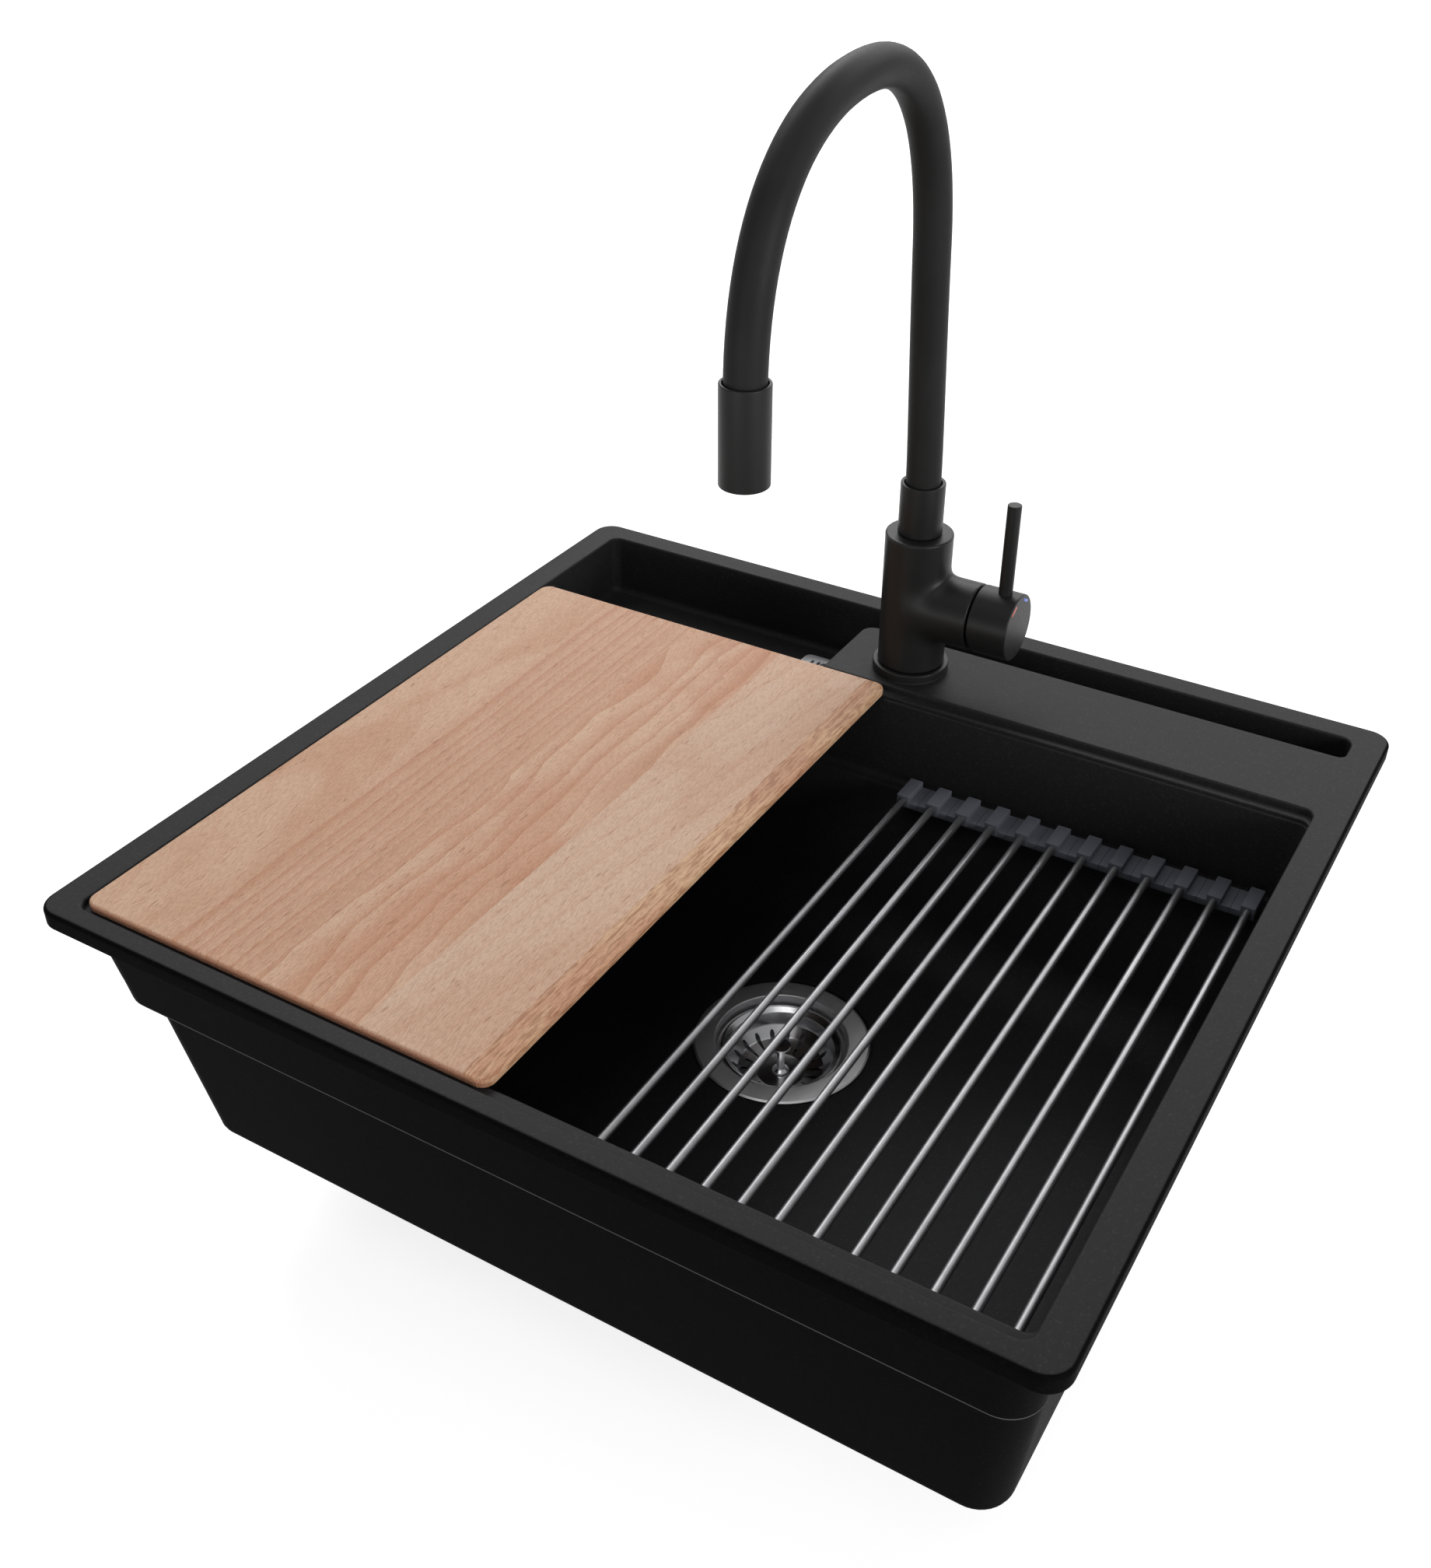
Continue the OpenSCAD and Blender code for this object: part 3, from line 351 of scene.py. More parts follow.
# matt powder coat on brass: wide dim highlights
powderCoat = makeCoat("blackPowderCoat", ("#1a1a1a", "#1e1e1e"), (0.34, 0.44), 0.0008, 0.00004, IOR=1.5,
                      Specular_IOR_Level=0.16)
# extruded silicone: duller than the coat and a little greyer
hoseSilicone = makeCoat("hoseSilicone", ("#222222", "#272727"), (0.46, 0.58), 0.0009, 0.00004, IOR=1.43,
                        Specular_IOR_Level=0.1)
# moulded silicone: blue-grey and matt
linkSilicone = makeCoat("greySilicone", ("#5a5c64", "#64666e"), (0.48, 0.60), 0.0008, 0.00005, IOR=1.43,
                        Specular_IOR_Level=0.3)
# nitrile rubber: black and matt
sealRubber = makeCoat("sealRubber", ("#121212", "#181818"), (0.55, 0.70), 0.0006, 0.00005, IOR=1.5)
# moulded polypropylene: dark grey with a slight sheen
drainPlastic = makeCoat("mouldedDrainPlastic", ("#2a2a2c", "#303032"), (0.40, 0.52), 0.0012, 0.00006, IOR=1.49)
# moulded acetal: milky white and smooth
whitePlastic = makeCoat("whiteAcetal", ("#d8d8d2", "#e0e0da"), (0.35, 0.45), 0.001, 0.00003, IOR=1.48)
# turned brass: yellow, with fine rings around the shank
brass = makeMetal("turnedBrass", ("#b8964e", "#c6a860"), (0.22, 0.34), 0.0008, 0.00002, (1.0, 1.0, 12.0))
# dark brown-black metal for the nut and stem in the gap behind the lever's cap: painted shade
gapShadeMetal = makeMetal("gapShadeDarkMetal", ("#2a2824", "#33302a"), (0.40, 0.50), 0.0008, 0)
# enamel: clear bright colour in a smooth skin
hotEnamel = makeCoat("redEnamel", ("#cf3a2c", "#d8483a"), (0.25, 0.32), 0.0006, 0.00001, IOR=1.5)
coldEnamel = makeCoat("blueEnamel", ("#3a55c8", "#4a66d4"), (0.25, 0.32), 0.0006, 0.00001, IOR=1.5)
print("materials made")

slotMaterials = {
    "granite_composite": composite, "beech": beech, "satin_steel": satinSteel,
    "polished_steel": polishedSteel, "rod_steel": rodSteel, "link_silicone": linkSilicone,
    "black_tap": powderCoat, "hose_silicone": hoseSilicone, "seal_rubber": sealRubber,
    "drain_plastic": drainPlastic, "white_plastic": whitePlastic, "shank_brass": brass,
    "hot_paint": hotEnamel, "cold_paint": coldEnamel,
}
for part in frame["record"]["subparts"]:
    mesh = nodes[part["node"]].data
    mesh.materials.clear()
    mesh.materials.append(slotMaterials[part["material_slot"]])
# the nut and stem that show in the gap behind the lever's cap are painted near-black, as painted shade in the
# gap
for node in ("cartridge_nut", "cartridge_stem"):
    nodes[node].data.materials[0] = gapShadeMetal


def outline(corners, grow=0.0, steps=10):
    # corners are (x, y, radius), counter-clockwise; every corner gives steps + 1 points
    points = []
    count = len(corners)
    for i, (x, y, radius) in enumerate(corners):
        here = Vector((x, y))
        before = (here - Vector(corners[i - 1][:2])).normalized()
        after = (Vector(corners[(i + 1) % count][:2]) - here).normalized()
        turn = 1 if before.x * after.y - before.y * after.x > 0 else -1
        outBefore = Vector((before.y, -before.x))
        outAfter = Vector((after.y, -after.x))
        corner = here + (outBefore + outAfter) * grow / (1 + outBefore.dot(outAfter))
        arc = max(radius + turn * grow, 0.05)
        half = math.acos(max(-1.0, min(1.0, before.dot(after)))) / 2
        centre = corner - before * arc * math.tan(half) - outBefore * turn * arc
        for k in range(steps + 1):
            angle = 2 * half * k / steps * turn
            spoke = Vector((outBefore.x * math.cos(angle) - outBefore.y * math.sin(angle),
                            outBefore.x * math.sin(angle) + outBefore.y * math.cos(angle)))
            points.append(centre + spoke * turn * arc)
    return points


def rectangle(x0, x1, y0, y1, radius):
    return [(x0, y0, radius), (x1, y0, radius), (x1, y1, radius), (x0, y1, radius)]


def between(a, b, share):
    return [tuple(p + (q - p) * share for p, q in zip(u, v)) for u, v in zip(a, b)]


def addRing(bm, points, z):
    verts = [bm.verts.new((p[0] * mm, p[1] * mm, z * mm)) for p in points]
    return [bm.edges.new((verts[i - 1], verts[i])) for i in range(len(verts))]


def addSkin(bm, levels):
    # levels are (points, z); the first ring is drawn, and each next one is extruded and moved into place
    ring = addRing(bm, *levels[0])
    rings = [ring]
    verts = [edge.verts[1] for edge in ring]
    for points, z in levels[1:]:
        made = bmesh.ops.extrude_edge_only(bm, edges=ring)["geom"]
        fresh = {v for v in made if isinstance(v, bmesh.types.BMVert)}
        verts = [next(e.other_vert(v) for e in v.link_edges if e.other_vert(v) in fresh) for v in verts]
        for vert, point in zip(verts, points):
            vert.co = (point[0] * mm, point[1] * mm, z * mm)
        ring = [e for e in made if isinstance(e, bmesh.types.BMEdge)]
        rings.append(ring)
    return rings


def finishMesh(bm, name, material, angle=30, weld=0.00001):
    bmesh.ops.remove_doubles(bm, verts=bm.verts, dist=weld)
    bmesh.ops.dissolve_degenerate(bm, edges=bm.edges, dist=weld)
    bmesh.ops.recalc_face_normals(bm, faces=bm.faces)
    mesh = bpy.data.meshes.new(name)
    bm.to_mesh(mesh)
    bm.free()
    mesh.materials.append(material)
    piece = bpy.data.objects.new(name, mesh)
    bpy.context.scene.collection.objects.link(piece)
    mesh.shade_smooth()
    mesh.set_sharp_from_angle(angle=math.radians(angle))
    return piece


def bakeModifiers(piece):
    graph = bpy.context.evaluated_depsgraph_get()
    mesh = bpy.data.meshes.new_from_object(piece.evaluated_get(graph))
    piece.modifiers.clear()
    piece.data = mesh


def cutAway(piece, cutter):
    modifier = piece.modifiers.new("cut", "BOOLEAN")
    modifier.object = cutter
    modifier.operation = "DIFFERENCE"
    modifier.solver = "EXACT"
    bakeModifiers(piece)
    bpy.data.objects.remove(cutter)


def shadeFlats(piece, angle=30):
    # large flat faces keep their own normals, and the roundings between them blend
    piece.data.shade_smooth()
    piece.data.set_sharp_from_angle(angle=math.radians(angle))
    modifier = piece.modifiers.new("weighted", "WEIGHTED_NORMAL")
    modifier.keep_sharp = True
    modifier.weight = 100


def addTurned(bm, profile, steps):
    # profile is (radius, height) in millimetres, turned about the upright axis
    closed = profile[0] == profile[-1]
    verts = [bm.verts.new((r * mm, 0, h * mm)) for r, h in (profile[:-1] if closed else profile)]
    edges = [bm.edges.new((verts[i], verts[i + 1])) for i in range(len(verts) - 1)]
    if closed:
        edges.append(bm.edges.new((verts[-1], verts[0])))
    bmesh.ops.spin(bm, geom=verts + edges, cent=(0, 0, 0), axis=(0, 0, 1), angle=2 * math.pi, steps=steps,
                   use_merge=True)
    bmesh.ops.remove_doubles(bm, verts=bm.verts, dist=0.000001)


def roundProfile(points):
    # points are (radius, height, rounding); each corner becomes an arc of 5 steps
    result = []
    count = len(points)
    for i, (x, y, radius) in enumerate(points):
        if radius <= 0 or i in (0, count - 1):
            result.append((x, y))
            continue
        here = Vector((x, y))
        toBefore = (Vector(points[i - 1][:2]) - here).normalized()
        toAfter = (Vector(points[i + 1][:2]) - here).normalized()
        half = toBefore.angle(toAfter) / 2
        reach = radius / math.tan(half)
        start, stop = here + toBefore * reach, here + toAfter * reach
        for k in range(6):
            t = k / 5
            # a quadratic arc hugs a circle closely enough at these sizes
            point = start * (1 - t) ** 2 + here * 2 * t * (1 - t) + stop * t ** 2
            result.append((point.x, point.y))
    return result


def turnedPiece(name, points, material, place, steps=72, tip=None):
    # the profile may be tipped from upright before it goes to its place
    bm = bmesh.new()
    addTurned(bm, roundProfile(points), steps)
    matrix = Matrix.Translation(Vector(place) * mm)
    if tip is not None:
        matrix = matrix @ tip
    bmesh.ops.transform(bm, matrix=matrix, verts=bm.verts)
    return finishMesh(bm, name, material, 35, 0.000002)


# millimetres; a box is (left, right, front, back, corner radius), and an inset is the same from another box
sink = {
    "rim": (-300, 300, -281, 281, 14),
    "rimTop": 11,
    "rimEdge": 2.6,
    "holeEdge": 1.4,
    "bay": (-279.5, 279.5, -267.8, 171.8, 7),
    "ledge": 7,
    "ledgeZ": 7,
    "ledgeLip": 0.9,
    "step": 2,
    "stepLip": 0.8,
    # from the bay
    "rackWall": (8.1, 5.7, 12.6, 12.6, 9),
    "wallFillet": (12, 5.7, 16.6, 16.6, 7),
    "wallFilletHigh": 4,
    "rackZ": -52,
    "rackLedge": 9,
    "shelf": 27,
    "shelfLip": 2,
    # from the top of the lower wall
    "floor": (10, 10, 10, 39, 46),
    "floorZ": -152,
    "floorFillet": 28,
    "fall": 3,
    "drain": (20, -4),
    "recess": 58,
    "recessDeep": 2.4,
    "drainHole": 45,
    "shell": (-285.5, 289, -266.5, 271.5, 20),
    # from the shell
    "shellLow": (5.9, 4.1, 5.9, 3, 20),
    "bowlBack": (6, 4.2, 6, 93, 20),
    "crease": (8.1, 5.7, 8.1, 95.5, 20),
    "creaseLip": 0.5,
    "lowShell": (31.7, 6.3, 8.7, 112.5, 20),
    "pan": (42.3, 17, 22.3, 151.5, 20),
    "rearZ": -43,
    "creaseZ": -59.4,
    "bottomZ": -160,
    "panEdge": 8,
    "panZ": -164,
    "panRadius": 70,
    "pocketY": 177,
    "pocketZ": -34,
    "pocketFillet": 5,
    "slot": (238.4, 262.4),
    "deckX": -50.5,
    "notch": (160, 187),
    "tap": (0, 202),
    "tapHole": 17.5,
    "overflow": (-80, 232.4),
    "overflowHole": 12,
    "hollow": (-41.5, 275.5, 178, 230, 6),
    "hollowTop": -1,
}


def inset(box, left, right, front, back, radius):
    return box[0] + left, box[1] - right, box[2] + front, box[3] - back, radius


def quarterTurn(steps):
    return [math.pi / 2 * k / steps for k in range(steps + 1)]


def quarter(start, stop, z0, z1, out=False):
    # levels along a quarter round between two outlines, first down the wall or first across
    made = []
    for a in quarterTurn(5):
        across, down = (math.sin(a), 1 - math.cos(a)) if out else (1 - math.cos(a), math.sin(a))
        made.append((outline(between(start, stop, across)), z0 + (z1 - z0) * down))
    return made


def openingEdge(corners):
    # levels over the rounded edge of an opening in the rim
    edge = sink["holeEdge"]
    return [(outline(corners, edge * (1 - math.sin(a))), sink["rimTop"] - edge * (1 - math.cos(a)))
            for a in quarterTurn(5)]


def circlePoints(place, radius, count):
    # starts in the front left quarter, as the outlines do
    return [(place[0] + radius * math.cos(a), place[1] + radius * math.sin(a))
            for a in (math.radians(180) + 2 * math.pi * (k + 0.5) / count for k in range(count))]


def innerLevels():
    # from the rim's top down to the drain hole; the side walls stand a hair further in at each level, so that
    # no two rings share an edge
    hair = 0.02
    box = sink["bay"]
    ledge, ledgeZ, ledgeLip, r = sink["ledge"], sink["ledgeZ"], sink["ledgeLip"], box[4]
    down, stepLip = ledge + sink["step"], sink["stepLip"]
    stepZ = ledgeZ - sink["step"]
    bay = rectangle(*box)
    ledgeEdge = rectangle(*inset(box, hair / 2, hair / 2, ledge - ledgeLip, ledge - ledgeLip, r))
    well = rectangle(*inset(box, hair, hair, ledge, ledge, r))
    stepEdge = rectangle(*inset(box, 1.5 * hair, 1.5 * hair, down - stepLip, down - stepLip, r))
    wellLow = rectangle(*inset(box, 2 * hair, 2 * hair, down, down, r))
    levels = openingEdge(bay)
    levels += [(outline(bay), ledgeZ + 0.8), (outline(bay), ledgeZ)]
    levels += quarter(ledgeEdge, well, ledgeZ, ledgeZ - ledgeLip, out=True)
    levels.append((outline(well), stepZ))
    levels += quarter(stepEdge, wellLow, stepZ, stepZ - stepLip, out=True)

    # the upper wall ends in a fillet on the rack's ledge, and the ledge in a rounded lip
    rackZ, lip = sink["rackZ"], sink["shelfLip"]
    wallBox = inset(box, *sink["rackWall"])
    lowBox = inset(wallBox, sink["shelf"], 2 * hair, sink["rackLedge"], sink["rackLedge"], 20)
    lowTop = rectangle(*lowBox)
    wallFoot = between(wellLow, rectangle(*wallBox), 0.95)
    filletIn = rectangle(*inset(box, *sink["wallFillet"]))
    levels += quarter(wallFoot, filletIn, rackZ + sink["wallFilletHigh"], rackZ)
    lowOut = rectangle(*inset(lowBox, -lip, -hair, -lip, -lip, 20))
    levels += quarter(lowOut, lowTop, rackZ, rackZ - lip, out=True)

    # the lower wall sweeps into the floor
    floor, floorZ, fillet = rectangle(*inset(lowBox, *sink["floor"])), sink["floorZ"], sink["floorFillet"]
    for a in quarterTurn(10):
        z = floorZ + fillet * (1 - math.sin(a))
        share = (rackZ - z) / (rackZ - floorZ)
        levels.append((outline(between(lowTop, floor, share), -fillet * (1 - math.cos(a))), z))
    count = len(levels[-1][0])
    drain, drainZ, recess = sink["drain"], floorZ - sink["fall"], sink["recess"]
    for out, deep in ((1, 0), (0.3, 0.3), (0, 1), (0, sink["recessDeep"])):
        levels.append((circlePoints(drain, recess + out, count), drainZ - deep))
    for z in (drainZ - sink["recessDeep"], sink["panZ"]):
        levels.append((circlePoints(drain, sink["drainHole"], count), z))
    return levels


def outerLevels(count):
    # from the drain hole out over the pan and up to the rim's top
    rim, shell = rectangle(*sink["rim"]), rectangle(*sink["shell"])
    shellLow, bowlBack, crease, lowShell, pan = (rectangle(*inset(sink["shell"], *sink[key])) for key in
                                                 ("shellLow", "bowlBack", "crease", "lowShell", "pan"))
    lip = sink["creaseLip"]
    creaseLip = rectangle(*inset(inset(sink["shell"], *sink["crease"]), lip, lip, lip, lip, 20 - lip))
    creaseZ, rearZ, bottomZ, panEdge = sink["creaseZ"], sink["rearZ"], sink["bottomZ"], sink["panEdge"]
    levels = [(circlePoints(sink["drain"], radius, count), sink["panZ"])
              for radius in (sink["drainHole"], sink["panRadius"])]
    levels += [(outline(pan, -panEdge * (1 - math.sin(a))), bottomZ + panEdge * (1 - math.cos(a)))
               for a in quarterTurn(6)]
    levels += [(outline(corners, grow), z) for corners, grow, z in (
        (lowShell, 0, creaseZ), (creaseLip, 0, creaseZ), (between(creaseLip, crease, 0.7), 0, creaseZ + 0.15),
        (crease, 0, creaseZ + 0.6), (bowlBack, 0, rearZ), (shellLow, 0, rearZ), (shell, 0, -2),
        (shell, 0.6, -0.6), (shell, 2, 0), (rim, -0.8, 0), (rim, -0.25, 0.25), (rim, 0, 0.9))]
    top, edge = sink["rimTop"], sink["rimEdge"]
    levels += [(outline(rim, -edge * (1 - math.cos(a))), top - edge * (1 - math.sin(a)))
               for a in quarterTurn(6)]
    return levels


def pocketLevels():
    # rear pocket and slot, one opening around the deck's left end
    x0, x1, r = sink["bay"][0], sink["bay"][1], sink["bay"][4]
    s0, s1 = sink["slot"]
    deckX, pocketY, pocketZ, fillet = sink["deckX"], sink["pocketY"], sink["pocketZ"], sink["pocketFillet"]
    hole = [(x0, pocketY, r), (deckX, pocketY, r), (deckX, s0, 9), (x1, s0, 5), (x1, s1, 8), (x0, s1, r)]
    levels = openingEdge(hole)
    levels += [(outline(hole, -fillet * (1 - math.cos(a))), pocketZ + fillet * (1 - math.sin(a)))
               for a in quarterTurn(6)]
    return levels


def buildSink():
    bm = bmesh.new()
    inner = innerLevels()
    innerRings = addSkin(bm, inner)
    outerRings = addSkin(bm, outerLevels(len(inner[-1][0])))
    pocketRings = addSkin(bm, pocketLevels())
    bmesh.ops.triangle_fill(bm, use_beauty=True, use_dissolve=False, edges=pocketRings[-1])
    # the rim's top face, around both openings
    bmesh.ops.triangle_fill(bm, use_beauty=True, use_dissolve=False,
                            edges=outerRings[-1] + innerRings[0] + pocketRings[0])
    return finishMesh(bm, "sinkBowl", composite)


def sinkCutters():
    bm = bmesh.new()
    x0, deckX = sink["bay"][0], sink["deckX"]
    top, ledgeZ, edge = sink["rimTop"], sink["ledgeZ"], sink["holeEdge"]
    # notch over the divider, with the rim's rounding at both ends
    profile = [(x0, ledgeZ)]
    profile += [(x0 - edge * (1 - math.cos(a)), top - edge * (1 - math.sin(a))) for a in quarterTurn(5)]
    profile += [(x0 - edge, top + 3), (deckX + edge, top + 3)]
    profile += [(deckX + edge * (1 - math.sin(a)), top - edge * (1 - math.cos(a))) for a in quarterTurn(5)]
    profile.append((deckX, ledgeZ))
    front, back = sink["notch"]
    face = bm.faces.new([bm.verts.new((x * mm, front * mm, z * mm)) for x, z in profile])
    pushed = bmesh.ops.extrude_face_region(bm, geom=[face])["geom"]
    bmesh.ops.translate(bm, vec=(0, (back - front) * mm, 0),
                        verts=[v for v in pushed if isinstance(v, bmesh.types.BMVert)])
    # tap hole, overflow hole and the hollow under the deck, each cutter a little longer than its hole
    for place, radius, low, high in ((sink["tap"], sink["tapHole"], -5, 20),
                                     (sink["overflow"], sink["overflowHole"], -60, -30)):
        middle = Matrix.Translation(Vector((place[0], place[1], (low + high) / 2)) * mm)
        bmesh.ops.create_cone(bm, cap_ends=True, segments=64, radius1=radius * mm, radius2=radius * mm,
                              depth=(high - low) * mm, matrix=middle)
    hollow = outline(rectangle(*sink["hollow"]), steps=6)
    for ring in addSkin(bm, [(hollow, z) for z in (-80, sink["hollowTop"])]):
        bmesh.ops.triangle_fill(bm, use_beauty=True, use_dissolve=False, edges=ring)
    return finishMesh(bm, "sinkCutters", composite)


sinkBowl = buildSink()
cutAway(sinkBowl, sinkCutters())
shadeFlats(sinkBowl)
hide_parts("sink_bowl")
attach(sinkBowl, "sink")
print("sink built")


board = {"radius": 8, "rounding": 1.7, "segments": 4}


def buildBoard():
    low, high = (Vector(v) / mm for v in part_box("cutting_board"))
    bm = bmesh.new()
    points = outline(rectangle(low.x, high.x, low.y, high.y, board["radius"]), steps=12)
    ring = addRing(bm, points, low.z)
    face = bmesh.ops.contextual_create(bm, geom=ring)["faces"][0]
    pushed = bmesh.ops.extrude_face_region(bm, geom=[face])["geom"]
    bmesh.ops.translate(bm, vec=(0, 0, (high.z - low.z) * mm),
                        verts=[v for v in pushed if isinstance(v, bmesh.types.BMVert)])
    flat = [e for e in bm.edges if abs(e.verts[0].co.z - e.verts[1].co.z) < 1e-7]
    bmesh.ops.bevel(bm, geom=flat, offset=board["rounding"] * mm, offset_type="OFFSET", affect="EDGES",
                    segments=board["segments"], profile=0.5, material=-1)
    return finishMesh(bm, "cuttingBoard", beech, 40)


cuttingBoard = buildBoard()
shadeFlats(cuttingBoard, 60)
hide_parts("cutting_board")
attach(cuttingBoard, "board")
print("board built")


rack = {
    "rods": 12,
    "pitch": 20.76,
    "block": 9.0,
    "grip": 18.8,
    "web": 4.5,
    "webInset": 0.4,
    "webLow": 0.1,
    "webRounding": 0.08,
    "gap": 0.1,
    "rounding": 0.7,
}


def addBevelledBox(bm, low, high, rounding):
    made = bmesh.ops.create_cube(bm, size=1.0)
    size = Vector(high) - Vector(low)
    bmesh.ops.scale(bm, vec=size * mm, verts=made["verts"])
    bmesh.ops.translate(bm, vec=(Vector(low) + size / 2) * mm, verts=made["verts"])
    edges = list({e for v in made["verts"] for e in v.link_edges})
    bmesh.ops.bevel(bm, geom=edges, offset=rounding * mm, offset_type="OFFSET", affect="EDGES", segments=3,
                    profile=0.5, material=-1)


def buildLink(index):
    # a block around each end of the rod, and a thinner web to its neighbours
    node = "rack_link_%02d" % (index + 1)
    rodLow, rodHigh = (Vector(v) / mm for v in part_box("rack_rod_%02d" % (index + 1)))
    low, high = (Vector(v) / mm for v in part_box(node))
    middle = (rodLow.x + rodHigh.x) / 2
    half = rack["block"] / 2
    depth = rodLow.y - low.y + rack["grip"]
    left = middle - (half if index == 0 else rack["pitch"] / 2 - rack["gap"])
    right = middle + (half if index == rack["rods"] - 1 else rack["pitch"] / 2 - rack["gap"])
    bm = bmesh.new()
    for start in (low.y, high.y - depth):
        stop = start + depth
        addBevelledBox(bm, (middle - half, start, low.z), (middle + half, stop, high.z), rack["rounding"])
        addBevelledBox(bm, (left, start + rack["webInset"], low.z + rack["webLow"]),
                       (right, stop - rack["webInset"], low.z + rack["web"]), rack["webRounding"])
    piece = finishMesh(bm, "rackLink%02d" % (index + 1), linkSilicone, 60, 0.000001)
    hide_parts(node)
    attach(piece, "rack_%02d" % (index + 1))


for index in range(rack["rods"]):
    buildLink(index)
print("rack built")


# turned profiles are (radius, height, rounding) in millimetres
tap = {
    "axis": (0, 202),
    "bodyRadius": 22,
    "bodyLow": 17.5,
    "bodyHigh": 110.5,
    "armZ": 61,
    "armEnd": 44.5,
    "blend": 9.0,
    "edge": 1.2,
    "voxel": 0.9,
    "ring": [(16.5, 12, 0), (25.3, 12, 0.4), (25.3, 17.5, 1.0), (22.3, 17.5, 0.2), (22.3, 17.0, 0),
             (16.5, 17.0, 0), (16.5, 12, 0)],
    "sleeve": [(12.0, 137, 0), (12.0, 145, 0.5), (14.3, 145, 0.7), (14.3, 111.4, 0.3), (13.5, 110.7, 0),
               (11.3, 110.7, 0), (11.3, 85.5, 0), (6, 85.5, 0), (6, 137, 0), (12.0, 137, 0)],
    "sprayHead": [(6, 239, 0), (6, 280, 0), (11.8, 280, 0), (11.8, 285, 0.5), (13.5, 285, 0.8),
                  (13.5, 231, 0.6), (11.6, 231, 0.3), (11.6, 239, 0), (6, 239, 0)],
}


def barrelDistance(across, along, half):
    # distance to a barrel with rounded rims, from the way off its axis and the way from its middle
    edge = tap["edge"]
    out, past = across - tap["bodyRadius"] + edge, abs(along) - half + edge
    return min(max(out, past), 0.0) + math.hypot(max(out, 0.0), max(past, 0.0)) - edge


def tapDistance(x, y, z):
    # distance to the body and its side arm, melted together over the blend
    low, high, armHalf = tap["bodyLow"], tap["bodyHigh"], tap["armEnd"] / 2
    upright = barrelDistance(math.hypot(x, y), z - (high + low) / 2, (high - low) / 2)
    arm = barrelDistance(math.hypot(y, z - tap["armZ"]), x - armHalf, armHalf)
    blend = tap["blend"]
    near = max(blend - abs(upright - arm), 0.0) / blend
    return min(upright, arm) - near ** 3 * blend / 6


def buildTapBody():
    bm = bmesh.new()
    r, low, height, reach = tap["bodyRadius"], tap["bodyLow"], tap["bodyHigh"] - tap["bodyLow"], tap["armEnd"]
    bmesh.ops.create_cone(bm, cap_ends=True, segments=96, radius1=r * mm, radius2=r * mm, depth=height * mm,
                          matrix=Matrix.Translation((0, 0, (low + height / 2) * mm)))
    bmesh.ops.create_cone(bm, cap_ends=True, segments=96, radius1=r * mm, radius2=r * mm, depth=reach * mm,
                          matrix=Matrix.Translation((reach / 2 * mm, 0, tap["armZ"] * mm)) @ sideways)
    piece = finishMesh(bm, "tapBody", powderCoat, 60)
    remesh = piece.modifiers.new("skin", "REMESH")
    remesh.mode = "VOXEL"
    remesh.voxel_size = tap["voxel"] * mm
    bakeModifiers(piece)
    # settle every point on the melted surface
    for vertex in piece.data.vertices:
        p = vertex.co / mm
        for repeat in range(4):
            d = tapDistance(*p)
            e = 0.02
            slope = Vector((tapDistance(p.x + e, p.y, p.z) - d, tapDistance(p.x, p.y + e, p.z) - d,
                            tapDistance(p.x, p.y, p.z + e) - d)) / e
            if slope.length < 0.1:
                break
            p = p - slope * d / slope.length_squared
        vertex.co = (p + tapAxis) * mm
    piece.data.materials.clear()
    piece.data.materials.append(powderCoat)
    piece.data.shade_smooth()
    piece.data.set_sharp_from_angle(angle=math.radians(70))
    return piece


tapAxis = Vector((*tap["axis"], 0))
sideways = Matrix.Rotation(math.pi / 2, 4, "Y")
tapBody = buildTapBody()
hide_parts("tap_body")
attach(tapBody, "sink")

ringPiece = turnedPiece("tapBaseRing", tap["ring"], powderCoat, tapAxis)
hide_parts("tap_base_ring")
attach(ringPiece, "sink")

sleevePiece = turnedPiece("swivelSleeve", tap["sleeve"], powderCoat, tapAxis)
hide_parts("swivel_sleeve")
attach(sleevePiece, "spout")


# the crown stands above the sleeve's top and forward of the tap's axis, and the nose further forward
hose = {
    "radius": 11.2,
    "foot": 137.05,
    "sleeveTop": 145,
    "crownHigh": 263,
    "crownReach": 104,
    "reach": 226,
    "nose": 280.05,
}


